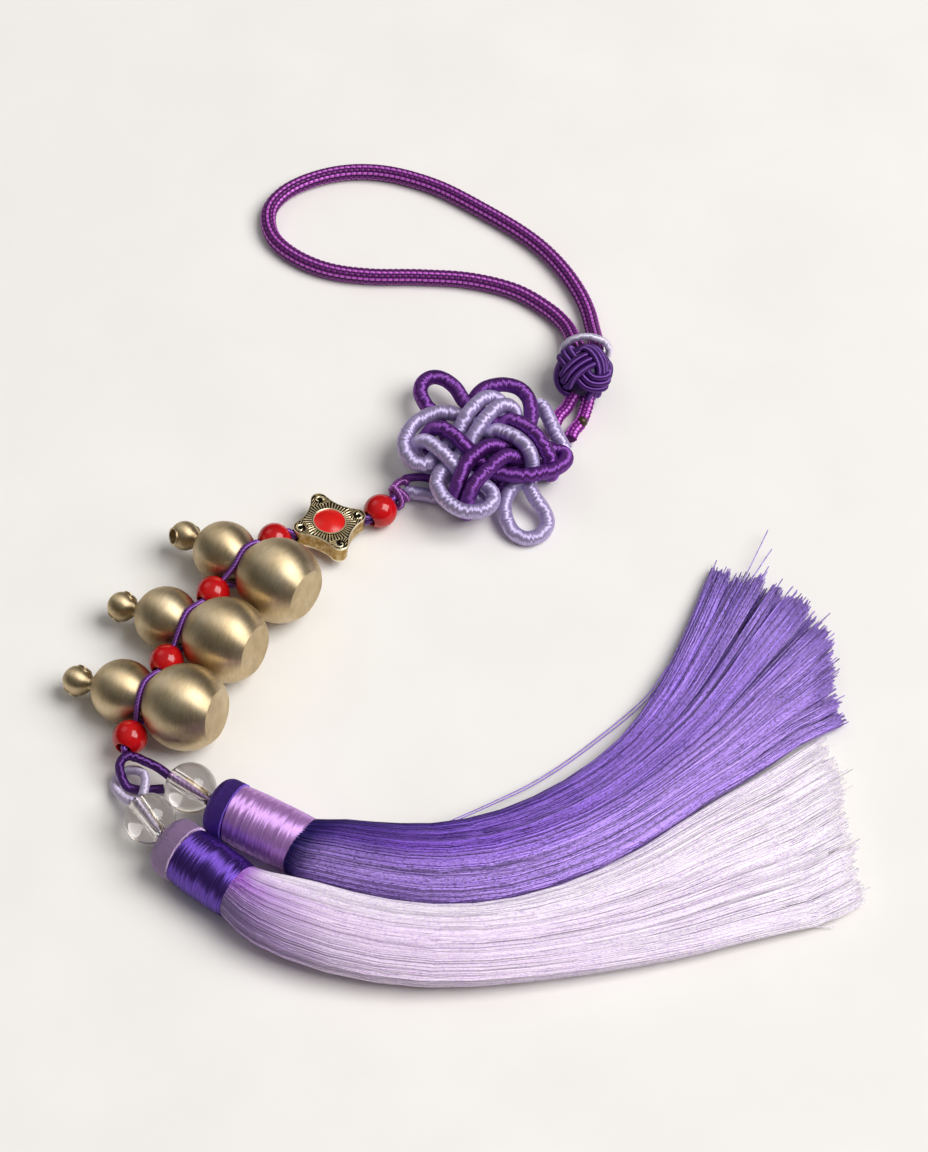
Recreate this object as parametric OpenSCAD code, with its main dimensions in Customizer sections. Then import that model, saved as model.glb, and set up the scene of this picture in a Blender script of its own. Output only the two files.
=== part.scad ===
// Gourd charm: a hanging charm laid out on a flat surface.
// Z points up and the surface is at Z = 0. The origin is under the middle of the charm without its loop.
// Round pieces are exact solids. Cords are tubes swept along their routes.

/* [Hanging loop] */
// Thickness of the braided loop cord
loop_cord_d = 3; // [2.8:0.1:3.1]
// Thickness of the cord's two ends below the button knot
stem_cord_d = 2.5; // [2.2:0.1:2.6]
// Thickness of the ring cord at the foot of the loop
ring_cord_d = 1.3; // [1:0.1:1.4]
// Radius of that ring, to the middle of its cord
ring_r = 4.2; // [4.1:0.1:4.4]

/* [Button knot] */
// Overall width of the button knot
button_d = 11.6; // [10.8:0.2:11.8]
// Width of the band of three strands that the knot is woven from
button_band_w = 3.4; // [2.6:0.1:3.6]
// Thickness of that band
button_band_t = 1.5; // [1.2:0.1:1.8]

/* [Main knot] */
// Thickness of the thread-wrapped cord
knot_cord_d = 2.6; // [2:0.1:2.6]
// Thickness of the lavender cord in the knot's tail
tail_cord_d = 2.5; // [2:0.1:2.5]
// Thickness of the purple cord beside it
thin_tail_d = 1.5; // [1.2:0.1:1.5]

/* [String and beads] */
// Thickness of each of the two stringing cords
string_d = 1; // [0.8:0.1:1]
// Width of a red bead
red_bead_d = 6; // [5.4:0.1:6]
// Hole through a red bead
red_bead_hole_d = 2.7; // [2.6:0.1:3]
// Width of a clear bead
clear_bead_d = 8.7; // [8:0.1:8.7]
// Hole through a clear bead
clear_bead_hole_d = 1.9; // [1.8:0.1:2.4]
// Thickness of the cords through the clear beads
tassel_cord_d = 1.3; // [1:0.1:1.3]
// Thickness of the short link cords
link_cord_d = 1.6; // [1.4:0.1:1.6]

/* [Spacer bead] */
// Length of the spacer bead along the string
spacer_l = 13.4; // [12:0.2:13.4]
// Its width across the string
spacer_w = 13.6; // [12:0.2:14]
// Thickness of the spacer bead
spacer_t = 3.3; // [3:0.1:3.6]
// Width of its red enamel dome
enamel_d = 5.4; // [4.6:0.1:5.6]

/* [Gourds] */
// Width of the big bulb
gourd_big_d = 14.9; // [14:0.1:14.9]
// Width of the small bulb
gourd_small_d = 11; // [10:0.1:11]
// Width of the ball at the end of the stalk
gourd_ball_d = 5.2; // [4.4:0.1:5.4]
// Width of the waist
gourd_waist_d = 6.4; // [5.6:0.1:6.6]
// Width of the flat base
gourd_base_d = 9; // [7:0.2:9.6]

/* [Tassels] */
// Width of the heads
tassel_head_d = 10.4; // [9.4:0.1:10.6]
// Wall of the wound collar
tassel_collar_wall = 0.9; // [0.6:0.1:1.2]
// Locks in each skirt
skirt_locks = 8; // [6:1:9]

/* [Hidden] */
$fn = 48;

// The layout's own zero is a point on the surface; this moves the charm over the origin.
layout_shift = [1.6, 15, 0];

// Sides of a swept cord
cord_sides = 8;
// Small gap between pieces that touch
gap = 0.12;

// Route of the hanging loop, from the button knot out and back
loop_route = [[23.9, 50.2, 5.2], [24, 53.5, 3.4], [23.6, 57.5, 1.8], [22.8, 62, 1.5],
              [21.2, 66.5, 1.5], [18.6, 71.5, 1.5], [15, 76.5, 1.5], [10.5, 81, 1.5], [3.8, 86.2, 1.5],
              [-4.5, 91.8, 1.5], [-13, 95.2, 1.5], [-20.5, 96, 1.5], [-27.5, 94.5, 1.5],
              [-33.5, 91, 1.5], [-36.6, 86, 1.5], [-35.8, 80, 1.5], [-31.6, 75.2, 1.5],
              [-25.2, 71.8, 1.5], [-17.5, 70.4, 1.5], [-8, 70.2, 1.5], [1.2, 69.4, 1.5],
              [9.4, 66.8, 1.5], [15.2, 62.6, 1.5], [18.6, 58.4, 1.8], [20, 53.8, 3.4],
              [20.7, 50.6, 4.8]];

// Routes of the cord's two ends below the button knot
stem_route_a = [[18.6, 39.6, 1.7], [18, 38.9, 1.5], [17, 37.7, 1.4], [16.2, 35.4, 1.4],
                [16.2, 33.4, 1.4]];
stem_route_b = [[21.9, 38.9, 1.5], [21.7, 38.3, 1.4], [21.5, 37.6, 1.4], [20.9, 36.1, 1.4], [20, 34.9, 1.4],
                [19.4, 33.8, 1.4], [19.1, 32.7, 1.4]];

// The button knot and the ring above it
button_at = [21.5, 44.3, 5.9];
// The band goes three times round the ball in four swings up and down, to this latitude, and starts at an
// angle. Where it crosses itself it rises or sinks by a share of its thickness.
button_turns = 3;
button_swings = 4;
button_start = 81;
button_latitude = 46;
button_weave = 0.35;
button_steps = 6;
button_tilt = [98, 0, -12];
ring_at = [22.1, 49.8, 5.2];

// The main knot is laid out on a grid turned by 45 degrees about this point.
knot_at = [3.5, 26.5, 0];
knot_turn = -45;

// Purple strand 1: face strand, under, side loop on the right, second lower face strand, back
purple_1 = [[5.8, -3.8, 3.95], [2.2, -3.8, 3.95], [0.2, -3.8, 2.6], [-1.4, -3.8, 1.5], [-3, -3.8, 1.4],
            [-6.5, -3.8, 1.4], [-9.4, -4.2, 1.5], [-10.6, -4.8, 3.4], [-9.6, -4.9, 5.8],
            [-8.8, -4.2, 8], [-7, -3.4, 9.3], [-4.8, -3.2, 9.6], [-2.4, -3.3, 9.6], [-0.8, -3.2, 9.1],
            [0.4, -3, 8.2], [1.5, -2.8, 7.2], [3.2, -2.6, 6.6], [5.2, -2.3, 6.7], [6.8, -1.5, 7],
            [9.2, 0.1, 7.3], [11.2, 2.9, 7.3], [12.4, 5.9, 7.1], [12, 8.5, 6.4], [10.4, 9.9, 5.6],
            [8.4, 9.4, 5.4], [6.6, 8, 5.9], [5.8, 6, 6.5], [5.8, 4, 6.6], [5.7, 2.3, 7.3],
            [5.2, 0.6, 8.9], [5.1, -1.6, 9.5], [5.3, -4.6, 9.6], [5.6, -7.6, 9.4], [5.8, -9, 8.2],
            [5.7, -9.7, 6.2], [5.6, -10.2, 4], [5.5, -9.8, 2], [5.6, -8, 1.4], [5.6, -5, 1.4],
            [5.6, -2, 1.8], [5.6, 0.8, 3.7], [5.6, 4, 3.95], [5.6, 7.5, 3.95]];

// Purple strand 2: open ear on the left, under, upper face strand, back
purple_2 = [[-8.6, -0.8, 3], [-11, 0, 3.8], [-13.2, 0.5, 4.4], [-15.6, 0.8, 4.6], [-18.2, 2.1, 4.6],
            [-19.4, 4.2, 4.6], [-18.9, 6.2, 4.6], [-17, 7.2, 4.6], [-14.2, 7.1, 4.8], [-10.8, 5.8, 5.4],
            [-8.5, 5.4, 6.1], [-6, 5.5, 6.4], [-3.2, 5.4, 6.6], [-1.2, 5.7, 7.6], [0.3, 6.7, 9],
            [3.2, 7.3, 9.5], [6.8, 7, 9.4], [8.9, 6.7, 8.4], [10.2, 6.5, 6.6], [10.7, 6.6, 4.4],
            [10.2, 6.8, 2.2], [8.5, 7, 1.4], [5.6, 7, 1.4], [2.2, 7, 1.4], [0.8, 7, 2],
            [-0.6, 6.9, 3.6], [-2.4, 6.9, 3.95], [-5.6, 7, 3.95], [-8.4, 7, 3.6]];

// Purple strand 3: loop on top, under, first lower face strand, back
purple_3 = [[-10, 6, 3], [-9.8, 7.2, 5], [-9.5, 9, 6.6], [-8.7, 10.9, 7], [-7.2, 12.8, 7],
            [-4.8, 13.9, 7], [-2, 13.4, 7], [0.6, 11.4, 6.8], [2.2, 9.2, 6.6], [2.8, 7, 6.5],
            [2.6, 4.2, 6.6], [2.2, 2, 7.5], [1.6, 0, 9], [1.3, -2.2, 9.5], [1.5, -5, 9.6],
            [2.4, -7.8, 9.4], [2.9, -9.2, 8.2], [2.9, -9.8, 6.2], [2.7, -10.2, 4], [2.3, -9.8, 2],
            [2.2, -8, 1.4], [2.2, -5, 1.4], [2.2, -2, 1.8], [2.2, 0.8, 3.7], [2.2, 4, 3.95],
            [2.2, 7.5, 3.95]];

// Lavender strand 1: first upper face strand, under, loop on the left, under, middle face strand, back
lavender_1 = [[-5.6, -7.6, 3.95], [-5.6, -5, 3.95], [-5.6, -2.4, 3.95], [-5.6, 0.2, 2.3],
              [-5.6, 2, 1.4], [-5.6, 4, 1.4], [-5.6, 8, 1.4], [-5.9, 10.2, 1.9], [-6.2, 10.7, 4],
              [-6.5, 9.9, 6], [-6.8, 8.5, 7.6], [-6.8, 6.7, 8.8], [-6.4, 4.2, 9.4], [-5.9, 1.6, 9.4],
              [-5.4, -0.6, 8.2], [-5.2, -2.6, 6.9], [-5, -5, 6.7], [-4.8, -7.8, 6.7], [-4.7, -9.6, 6.9],
              [-6, -10.9, 7], [-8.6, -10.7, 7], [-11.1, -8.8, 7], [-12.4, -5.4, 7], [-12, -1.8, 7.1],
              [-10.3, 0.8, 7], [-8, 2.2, 6.8], [-5.8, 2.7, 6.6], [-2.8, 2.8, 6.6], [-1.1, 3, 7.8],
              [0.4, 3.6, 9], [3.6, 4.3, 9.5], [6.6, 4.2, 9.3], [8, 3.9, 8.2], [8.5, 3.7, 6.2],
              [8.6, 3.7, 4], [8.2, 3.7, 2.2], [7, 3.7, 1.4], [5.6, 3.6, 1.4], [2.2, 3.6, 1.4],
              [1, 3.6, 1.4], [-0.8, 3.6, 2.9], [-2.4, 3.6, 3.95], [-5.6, 3.6, 3.95], [-7.4, 3.5, 3.8]];

// Lavender strand 2: second upper face strand, under, loop below, under, left face strand, back
lavender_2 = [[-2.2, -8.8, 3.95], [-2.2, -5.4, 3.95], [-2.2, -2.4, 3.95], [-2.2, 0.2, 2.3],
              [-2.2, 2, 1.4], [-2.2, 4, 1.4], [-2, 7.6, 1.4], [-1.1, 9.4, 2.1], [-0.7, 9.6, 4],
              [-1, 9.2, 6.2], [-1.7, 9.2, 8], [-2.8, 8.4, 9.1], [-3.3, 6.4, 9.5], [-3, 3.6, 9.6],
              [-2.5, 1, 9.2], [-2.2, -1, 7.9], [-2, -2.8, 6.8], [-1.9, -5, 6.6], [-1.8, -7.4, 6.6],
              [-1.5, -9.4, 6.9], [0, -11.7, 7], [3.4, -12.9, 7], [7, -12.5, 7], [9.3, -10.5, 7],
              [9.8, -8.2, 7], [8.6, -6.3, 6.8], [6.6, -5.6, 6.6], [4, -6, 6.6], [1.6, -6.8, 6.9],
              [-0.4, -7.1, 8.4], [-2.4, -7.2, 9.3], [-4.6, -7.2, 9.5], [-7, -7.2, 9], [-8.6, -7.6, 7.6],
              [-9.2, -8, 5.6], [-9.4, -8, 3.6], [-8.6, -7.5, 1.7], [-6.5, -7.2, 1.4], [-3, -7.2, 1.4],
              [-1, -7.2, 2.4], [1.4, -7.2, 3.8], [5.6, -7.2, 3.95], [8.5, -7.2, 3.95]];

// Lavender ear that lies open beside the knot
lavender_ear = [[8.3, 0.6, 4.2], [8.3, -1, 4], [8.6, -2.7, 3.6], [9.4, -4.2, 3], [11.4, -5.8, 2.1],
                [14.2, -6.6, 1.5], [16.6, -5.8, 1.4], [17.7, -3.4, 1.4], [16.9, -1, 1.6],
                [14.8, 0.2, 2.2], [12.1, 0.6, 3.2], [10.4, 1.2, 3.9], [9.4, 2, 4]];

// Lavender strand that stands off the upper right side, seen edge on
lavender_side = [[-1.2, 13.2, 2.2], [-1.5, 15, 3.2], [-0.5, 15.3, 4.5], [1.6, 14.5, 4.7],
                 [5, 12.9, 4.7], [7.2, 12.1, 4.3], [9, 11.8, 3.4]];

// Tail of the knot towards the string, in the layout: one lavender and one purple strand
tail_lavender = [[-9.9, 20.5, 1.8], [-9.2, 20.4, 1.8], [-8.3, 20.3, 1.7], [-7.1, 20.1, 1.6],
                 [-5.8, 19.8, 1.5], [-4.3, 19.5, 1.5]];
tail_purple = [[-11.1, 22, 2.8], [-10.3, 22.7, 2.9], [-9.3, 22.9, 2.9], [-8.3, 23.2, 2.8],
               [-7.3, 23.4, 2.6], [-6.5, 23.5, 2.4]];

// Small tie between the tail and the first red bead: its heading, half its height, its wall and its length
tie_at = [-11.9, 18.9, 2.6];
tie_heading = 48;
tie_r = 2.1;
tie_wall = 0.8;
tie_l = 1.7;

// Red beads in order from the knot, with the heading of each hole
red_x = 0;
red_y = 1;
red_z = 2;
red_heading = 3;
red_table = [[-14.8, 15.5, 3, 42],
             [-33.2, 7.8, 5, 34],
             [-43.4, -4.6, 6.5, 54],
             [-50.8, -18.8, 6.5, 66],
             [-56.4, -33.2, 5, 70]];

// Spacer bead, with its heading, its slope along the string and its lean, below 0 to the far side
spacer_at = [-23.8, 11.5, 3.6];
spacer_heading = 21;
spacer_slope = 8;
spacer_lean = -3;
// Radius of its four lobes, and of the hollow flanks that run smoothly from lobe to lobe
spacer_lobe_r = 1.5;
spacer_flank_r = 8;
spacer_hole_d = 2.4;
// Enamel domes: width of the rim round them, height of the seat and of the top, and radius of the curve
enamel_rim = 0.3;
enamel_seat = 1.35;
enamel_top = 2.3;
enamel_curve_r = 6.2;

// Gourds: middle of the big bulb, heading from big to small bulb, and slope down to the stalk
gourd_x = 0;
gourd_y = 1;
gourd_heading = 2;
gourd_slope = 3;
// How far the ball on the stalk sits aside and ahead, then the width and the two turns of the hole through it
gourd_aside = 4;
gourd_ahead = 5;
gourd_hole = 6;
gourd_hole_swing = 7;
gourd_hole_spin = 8;
gourd_table = [[-32, -2.6, 145, 6, 0.63, 0.05, 2.6, 61, 119],
               [-40.8, -15, 152, 7.5, 0.87, 0.25, 2.2, 68, 56],
               [-47, -28.7, 158, 9, 0.19, 0.46, 2.2, 68, 56]];
// Steps from the big bulb to the waist, the small bulb and the ball on the stalk
gourd_waist_step = 7.1;
gourd_bulb_step = 12;
gourd_ball_step = 20.2;
gourd_stalk_d = 2.4;

// Half the distance between the two stringing cords inside a bead
string_split = string_d / 2 + 0.16;
// How far inside a bead's mouth the cords start to bend
string_lead = 0.4;
// The cords pass over and under a gourd's waist on an arc of this radius, between these angles.
waist_arc_r = gourd_waist_d / 2 + string_d / 2 + 0.3;
waist_arc_angles = [40, 90, 140];
// The string's ends: in the tail above the tie and under the last red bead
string_start = [-11.2, 19.5, 2.6];
string_end = [-57.1, -35.6, 4.5];

// Link cords between the last red bead and the tassels
link_purple_route = [[-55.3, -37.2, 5], [-56.4, -37.2, 5.5], [-57.5, -37.7, 5.1], [-57.9, -38.9, 4.4],
                     [-57.5, -40.1, 3.4], [-56.8, -41, 2.2], [-55.6, -41.1, 1.2], [-54, -41.1, 0.95],
                     [-52.4, -41, 0.95], [-50.6, -40.9, 1]];
link_purple_branch = [[-54.9, -37.4, 5.1], [-53.7, -37.8, 4.8], [-52.4, -38.3, 4.5], [-51, -39.1, 4.3],
                      [-49.6, -40.4, 4.4]];
link_lavender_route = [[-53.8, -44.4, 4.4], [-53.6, -43.1, 4], [-53.5, -41.3, 3.7], [-53.8, -39.7, 3.4],
                       [-54.8, -38.5, 2.8], [-56, -37.8, 2], [-57.1, -37.5, 1.2], [-58.2, -38.2, 0.95],
                       [-58.8, -39.6, 1], [-58.5, -41.5, 1.6], [-57, -43.8, 2.8], [-55.4, -45.3, 4]];

// Clear beads with the headings of their holes
clear_1_at = [-52.25, -48.95, 4.5];
clear_1_heading = -55;
clear_2_at = [-45.75, -42.95, 4.5];
clear_2_heading = -36;
// How far inside a clear bead's mouth the cord starts, and how far it reaches into the cap
tassel_cord_inset = 0.3;
tassel_cord_reach = 2;
tassel_cap_hole_d = 2;

// Tassel heads: middle of the collar's start, heading towards the skirt, widths and lengths
tassel_1_at = [-45.9, -56.4, 5.25];
tassel_1_heading = -38;
tassel_1_collar_l = 11.2;
tassel_1_cap_l = 4.4;
tassel_2_at = [-38.1, -48.4, 5.4];
tassel_2_heading = -29;
tassel_2_collar_l = 13.8;
tassel_2_cap_l = 4;
cap_round = 2;
// How far the round neck of a skirt reaches out of its collar
neck_reach = 1.6;

// Half the width of a lock of a skirt, as a share of its spacing
lock_overlap = 0.8;
// Every second lock is a little lower, and the last section of each is narrower.
lock_low = 0.93;
lock_tip = 0.7;
// How much thinner the skirt is at its two edges than in its middle
skirt_thin = 0.86;
// Skirts: the left and right edge, thickness and middle height at each section
edge_lx = 0;
edge_ly = 1;
edge_rx = 2;
edge_ry = 3;
edge_t = 4;
edge_z = 5;
skirt_1_table = [[-34, -59.9, -39.8, -66.9, 9.8, 5.2],
                 [-30.6, -60.9, -36.6, -70.6, 10.2, 5.2],
                 [-25.6, -61.8, -30.4, -74.6, 10, 5.1],
                 [-15.8, -64.4, -19, -78.4, 9, 4.6],
                 [-5, -65.7, -5.4, -80, 8, 4.1],
                 [6, -64.6, 8.4, -79, 7, 3.6],
                 [17.8, -60.6, 23.4, -76.6, 6.2, 3.2],
                 [29.2, -54.1, 37, -73.6, 5.4, 2.8],
                 [40, -45.9, 49, -70, 4.6, 2.4],
                 [50.3, -39, 58, -67.6, 3.8, 2],
                 [57.4, -33.6, 63.6, -64.6, 3.2, 1.7]];
skirt_1_reach = [2, 3, 3.5, 3, 2.5, 2.5, 2, 1.5];
skirt_2_table = [[-23.2, -50.7, -28.6, -60.4, 10.2, 5.4],
                 [-18.6, -50.6, -24.2, -61.7, 10.4, 5.3],
                 [-12, -51, -15, -64, 10, 5.1],
                 [-4, -50.6, -4.6, -65.2, 9.2, 4.7],
                 [5, -48, 7.2, -63.8, 8.2, 4.2],
                 [14, -43.2, 19.8, -59.1, 7.4, 3.8],
                 [22, -37, 30.8, -52.5, 6.6, 3.4],
                 [28.2, -30, 40.3, -45.1, 5.8, 3],
                 [33.4, -21, 49.6, -38.7, 5, 2.6],
                 [37.8, -10.6, 57.2, -32.7, 4.2, 2.2],
                 [41.4, -0.6, 62.8, -29.6, 3.4, 1.8]];
skirt_2_reach = [3, 5.5, 9, 12, 13, 11, 6, 2];

// A unit vector along v
function unit(v) = v / norm(v);

// A point between b and c on the smooth curve through a, b, c and d
function curve_point(a, b, c, d, u) =
    (2 * b + (c - a) * u + (2 * a - 5 * b + 4 * c - d) * u * u + (3 * b - a - 3 * c + d) * u * u * u) / 2;

// A smooth path through the points of a route, with so many steps between two points
function smooth(route, steps) =
    let (last = len(route) - 1)
    [for (i = [0 : last - 1], j = [0 : steps - 1])
        curve_point(route[max(i - 1, 0)], route[i], route[i + 1], route[min(i + 2, last)], j / steps),
     route[last]];

// Direction of a path at point i
function heading(path, i) = unit(path[min(i + 1, len(path) - 1)] - path[max(i - 1, 0)]);

// One ring of points round a path, in the plane across it
function ring_points(middle, along, half_w, half_t, sides) =
    let (side = unit(cross(along, [0, 0, 1])), lift = cross(side, along))
    [for (k = [0 : sides - 1])
        let (a = 360 * (k + 0.5) / sides)
        middle + side * half_w * cos(a) + lift * half_t * sin(a)];

// Faces of a tube of so many rings, and of its two ends
function tube_sides(rings, sides) =
    [for (i = [0 : rings - 2], k = [0 : sides - 1])
        let (j = (k + 1) % sides)
        each [[i * sides + k, i * sides + j, (i + 1) * sides + k],
              [i * sides + j, (i + 1) * sides + j, (i + 1) * sides + k]]];
function tube_ends(rings, sides) =
    [[for (k = [sides - 1 : -1 : 0]) k], [for (k = [0 : sides - 1]) (rings - 1) * sides + k]];

// A cord of one thickness along a path
module cord(path, d, sides = cord_sides) {
    rings = len(path);
    points = [for (i = [0 : rings - 1]) each ring_points(path[i], heading(path, i), d / 2, d / 2, sides)];
    polyhedron(points, concat(tube_sides(rings, sides), tube_ends(rings, sides)));
}

// Everything is placed through here.
module laid_out() {
    translate(layout_shift)
        children();
}

module hanging_loop() {
    color("#7c1a86")
        laid_out()
            cord(smooth(loop_route, 2), loop_cord_d);
}

module stem_cords() {
    color("#9a2aa6")
        laid_out() {
            cord(smooth(stem_route_a, 2), stem_cord_d);
            cord(smooth(stem_route_b, 2), stem_cord_d);
        }
}

module loop_ring() {
    color("#cfc0e6")
        laid_out()
            translate(ring_at)
                rotate([90, 0, 0])
                    rotate_extrude()
                        translate([ring_r, 0])
                            circle(d = ring_cord_d, $fn = 24);
}

// Middle of the band at angle a along it
function button_point(a) =
    let (lat = button_latitude * sin(button_swings * a),
         lon = button_turns * a + button_start,
         r = button_d / 2 - button_band_t * (0.5 + button_weave * (1 - sin(2 * button_swings * a))))
    r * [cos(lat) * cos(lon), cos(lat) * sin(lon), sin(lat)];

// One flat six-sided ring of the band at angle a
function button_ring(a) =
    let (at = button_point(a),
         along = unit(button_point(a + 1) - button_point(a - 1)),
         side = unit(cross(along, at)),
         out = cross(side, along))
    [for (k = [0 : 5])
        at + side * button_band_w / 2 * cos(60 * k) + out * button_band_t / 2 * sin(60 * k)];

// The band is laid in one length for each half swing, and the lengths overlap a little.
module button_knot() {
    reach = 180 / button_swings;
    rings = button_steps + 1;
    color("#4a1463")
        laid_out()
            translate(button_at) {
                sphere(d = button_d - 2.6 * button_band_t);
                rotate(button_tilt)
                    for (first = [0 : reach : 359]) {
                        points = [for (i = [0 : button_steps])
                            each button_ring(first + (reach + 1) * i / button_steps)];
                        polyhedron(points, concat(tube_sides(rings, 6), tube_ends(rings, 6)));
                    }
            }
}

// Moves strands from the knot's own grid to the layout
module on_knot_grid() {
    laid_out()
        translate(knot_at)
            rotate([0, 0, knot_turn])
                children();
}

module knot_purple() {
    color("#5a1a80")
        on_knot_grid()
            for (route = [purple_1, purple_2, purple_3])
                cord(smooth(route, 2), knot_cord_d);
    color("#5a1a80")
        laid_out()
            cord(smooth(tail_purple, 2), thin_tail_d);
}

module knot_lavender() {
    color("#c9b8e4")
        on_knot_grid() {
            for (route = [lavender_1, lavender_2])
                cord(smooth(route, 2), knot_cord_d);
            for (route = [lavender_ear, lavender_side])
                cord(smooth(route, 2), knot_cord_d);
        }
    color("#c9b8e4")
        laid_out()
            cord(smooth(tail_lavender, 2), tail_cord_d);
}

module knot_tie() {
    round_r = tie_wall / 2;
    color("#7a2a94")
        laid_out()
            translate(tie_at)
                rotate([0, 90, tie_heading])
                    rotate_extrude()
                        translate([tie_r - round_r, 0]) {
                            for (way = [-1, 1])
                                translate([0, way * (tie_l / 2 - round_r)])
                                    circle(r = round_r);
                            square([tie_wall, tie_l - tie_wall], center = true);
                        }
}

module red_bead(i) {
    row = red_table[i];
    color("#d8131a")
        laid_out()
            translate([row[red_x], row[red_y], row[red_z]])
                rotate([0, 90, row[red_heading]])
                    difference() {
                        sphere(d = red_bead_d);
                        cylinder(d = red_bead_hole_d, h = red_bead_d + 1, center = true);
                    }
}

module spacer_frame() {
    laid_out()
        translate(spacer_at)
            rotate([spacer_lean, spacer_slope, spacer_heading])
                children();
}

// A four-pointed plate with round lobes, drilled from lobe to lobe, with a seat for a dome on each face
module spacer_bead() {
    lobe = [spacer_l / 2 - spacer_lobe_r, spacer_w / 2 - spacer_lobe_r];
    reach = sqrt(pow(spacer_flank_r + spacer_lobe_r, 2) - pow(norm(lobe) / 2, 2));
    flank = lobe / 2 + reach * unit([lobe[1], lobe[0]]);
    color("#a8873c")
        spacer_frame()
            difference() {
                union() {
                    cube([2 * lobe[0], 2 * lobe[1], spacer_t], center = true);
                    for (at = [[lobe[0], 0], [-lobe[0], 0], [0, lobe[1]], [0, -lobe[1]]])
                        translate(at)
                            cylinder(r = spacer_lobe_r, h = spacer_t, center = true);
                    cylinder(d = enamel_d + 2 * enamel_rim, h = spacer_t + enamel_rim, center = true);
                }
                for (x = [-1, 1], y = [-1, 1])
                    translate([x * flank[0], y * flank[1]])
                        cylinder(r = spacer_flank_r, h = spacer_t + 1, center = true);
                for (way = [0, 1])
                    mirror([0, 0, way])
                        translate([0, 0, enamel_seat])
                            cylinder(d = enamel_d + gap, h = spacer_t);
                rotate([0, 90, 0])
                    cylinder(d = spacer_hole_d, h = spacer_l + 1, center = true);
            }
}

// Two low domes, one in the seat on each face
module spacer_enamel() {
    color("#e01818")
        spacer_frame()
            for (way = [0, 1])
                mirror([0, 0, way])
                    intersection() {
                        translate([0, 0, enamel_top - enamel_curve_r])
                            sphere(r = enamel_curve_r);
                        translate([0, 0, enamel_seat + gap / 2])
                            cylinder(d = enamel_d, h = enamel_top);
                    }
}

module gourd(i) {
    row = gourd_table[i];
    base_step = sqrt(pow(gourd_big_d, 2) - pow(gourd_base_d, 2)) / 2;
    ball_at = [0, row[gourd_aside], gourd_ball_step + row[gourd_ahead]];
    color("#b59a63")
        laid_out()
            translate([row[gourd_x], row[gourd_y], gourd_big_d / 2])
                rotate([0, 90 + row[gourd_slope], row[gourd_heading]])
                    difference() {
                        union() {
                            sphere(d = gourd_big_d);
                            cylinder(d = gourd_waist_d, h = gourd_bulb_step);
                            translate([0, 0, gourd_bulb_step])
                                sphere(d = gourd_small_d);
                            cylinder(d = gourd_stalk_d, h = gourd_ball_step);
                            translate(ball_at)
                                sphere(d = gourd_ball_d);
                        }
                        translate([0, 0, -base_step - gourd_big_d])
                            cylinder(d = gourd_big_d, h = gourd_big_d);
                        translate(ball_at)
                            rotate([0, row[gourd_hole_swing], row[gourd_hole_spin]])
                                cylinder(d = row[gourd_hole], h = gourd_ball_d + 1, center = true);
                    }
}

// A level unit vector at an angle
function level(turn) = [cos(turn), sin(turn), 0];

// Stations through a bead of length l, in the string's order
function stations(at, along, l) =
    [at + along * (l / 2 - string_lead), at, at - along * (l / 2 - string_lead)];

// Stations of a cord through red bead i, with its cord above (+1) or below (-1) the other
function bead_stations(i, way) =
    let (row = red_table[i])
    stations([row[red_x], row[red_y], row[red_z] + way * string_split], level(row[red_heading]), red_bead_d);

// Stations round the waist of gourd i
function waist_stations(i, way) =
    let (row = gourd_table[i],
         ahead = level(row[gourd_heading]),
         down = row[gourd_slope],
         axis = cos(down) * ahead - [0, 0, sin(down)],
         lift = sin(down) * ahead + [0, 0, cos(down)],
         middle = [row[gourd_x], row[gourd_y], gourd_big_d / 2] + gourd_waist_step * axis)
    [for (a = waist_arc_angles)
        middle + waist_arc_r * (way * sin(a) * lift - cos(a) * level(row[gourd_heading] + 90))];

// The whole route of one of the two stringing cords
function string_route(way) =
    let (lift = [0, 0, way * string_split],
         spacer_along = cos(spacer_slope) * level(spacer_heading) - [0, 0, sin(spacer_slope)])
    [string_start + lift,
     tie_at + lift,
     each bead_stations(0, way),
     each stations(spacer_at + lift, spacer_along, spacer_l),
     each bead_stations(1, way),
     for (i = [0 : len(gourd_table) - 1]) each [each waist_stations(i, way), each bead_stations(i + 2, way)],
     string_end + lift];

module string_over() {
    color("#6a1a9a")
        laid_out()
            cord(smooth(string_route(1), 2), string_d, 6);
}

module string_under() {
    color("#6a1a9a")
        laid_out()
            cord(smooth(string_route(-1), 2), string_d, 6);
}

module link_purple() {
    color("#5c1c8c")
        laid_out() {
            cord(smooth(link_purple_route, 2), link_cord_d);
            cord(smooth(link_purple_branch, 2), link_cord_d);
        }
}

module link_lavender() {
    color("#c9b8e4")
        laid_out()
            cord(smooth(link_lavender_route, 2), link_cord_d);
}

module clear_bead(at, turn) {
    color("#e6e6e6")
        laid_out()
            translate(at)
                rotate([0, 90, turn])
                    difference() {
                        sphere(d = clear_bead_d);
                        cylinder(d = clear_bead_hole_d, h = clear_bead_d + 1, center = true);
                    }
}

// Turns children so that their Z axis runs along a tassel's head
module tassel_head(at, turn) {
    laid_out()
        translate(at)
            rotate([0, 90, turn])
                children();
}

// A cord through a clear bead and on into the hole of a cap
module tassel_cord(bead_at, bead_turn, head_at, head_turn, cap_l) {
    start = bead_at - level(bead_turn) * (clear_bead_d / 2 - tassel_cord_inset);
    cap_face = head_at - level(head_turn) * (cap_l + gap);
    laid_out()
        cord([start, bead_at, bead_at + level(bead_turn) * clear_bead_d / 2,
              cap_face, cap_face + level(head_turn) * tassel_cord_reach], tassel_cord_d);
}

module tassel_cord_1() {
    color("#c9b8e4")
        tassel_cord(clear_1_at, clear_1_heading, tassel_1_at, tassel_1_heading, tassel_1_cap_l);
}

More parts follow.
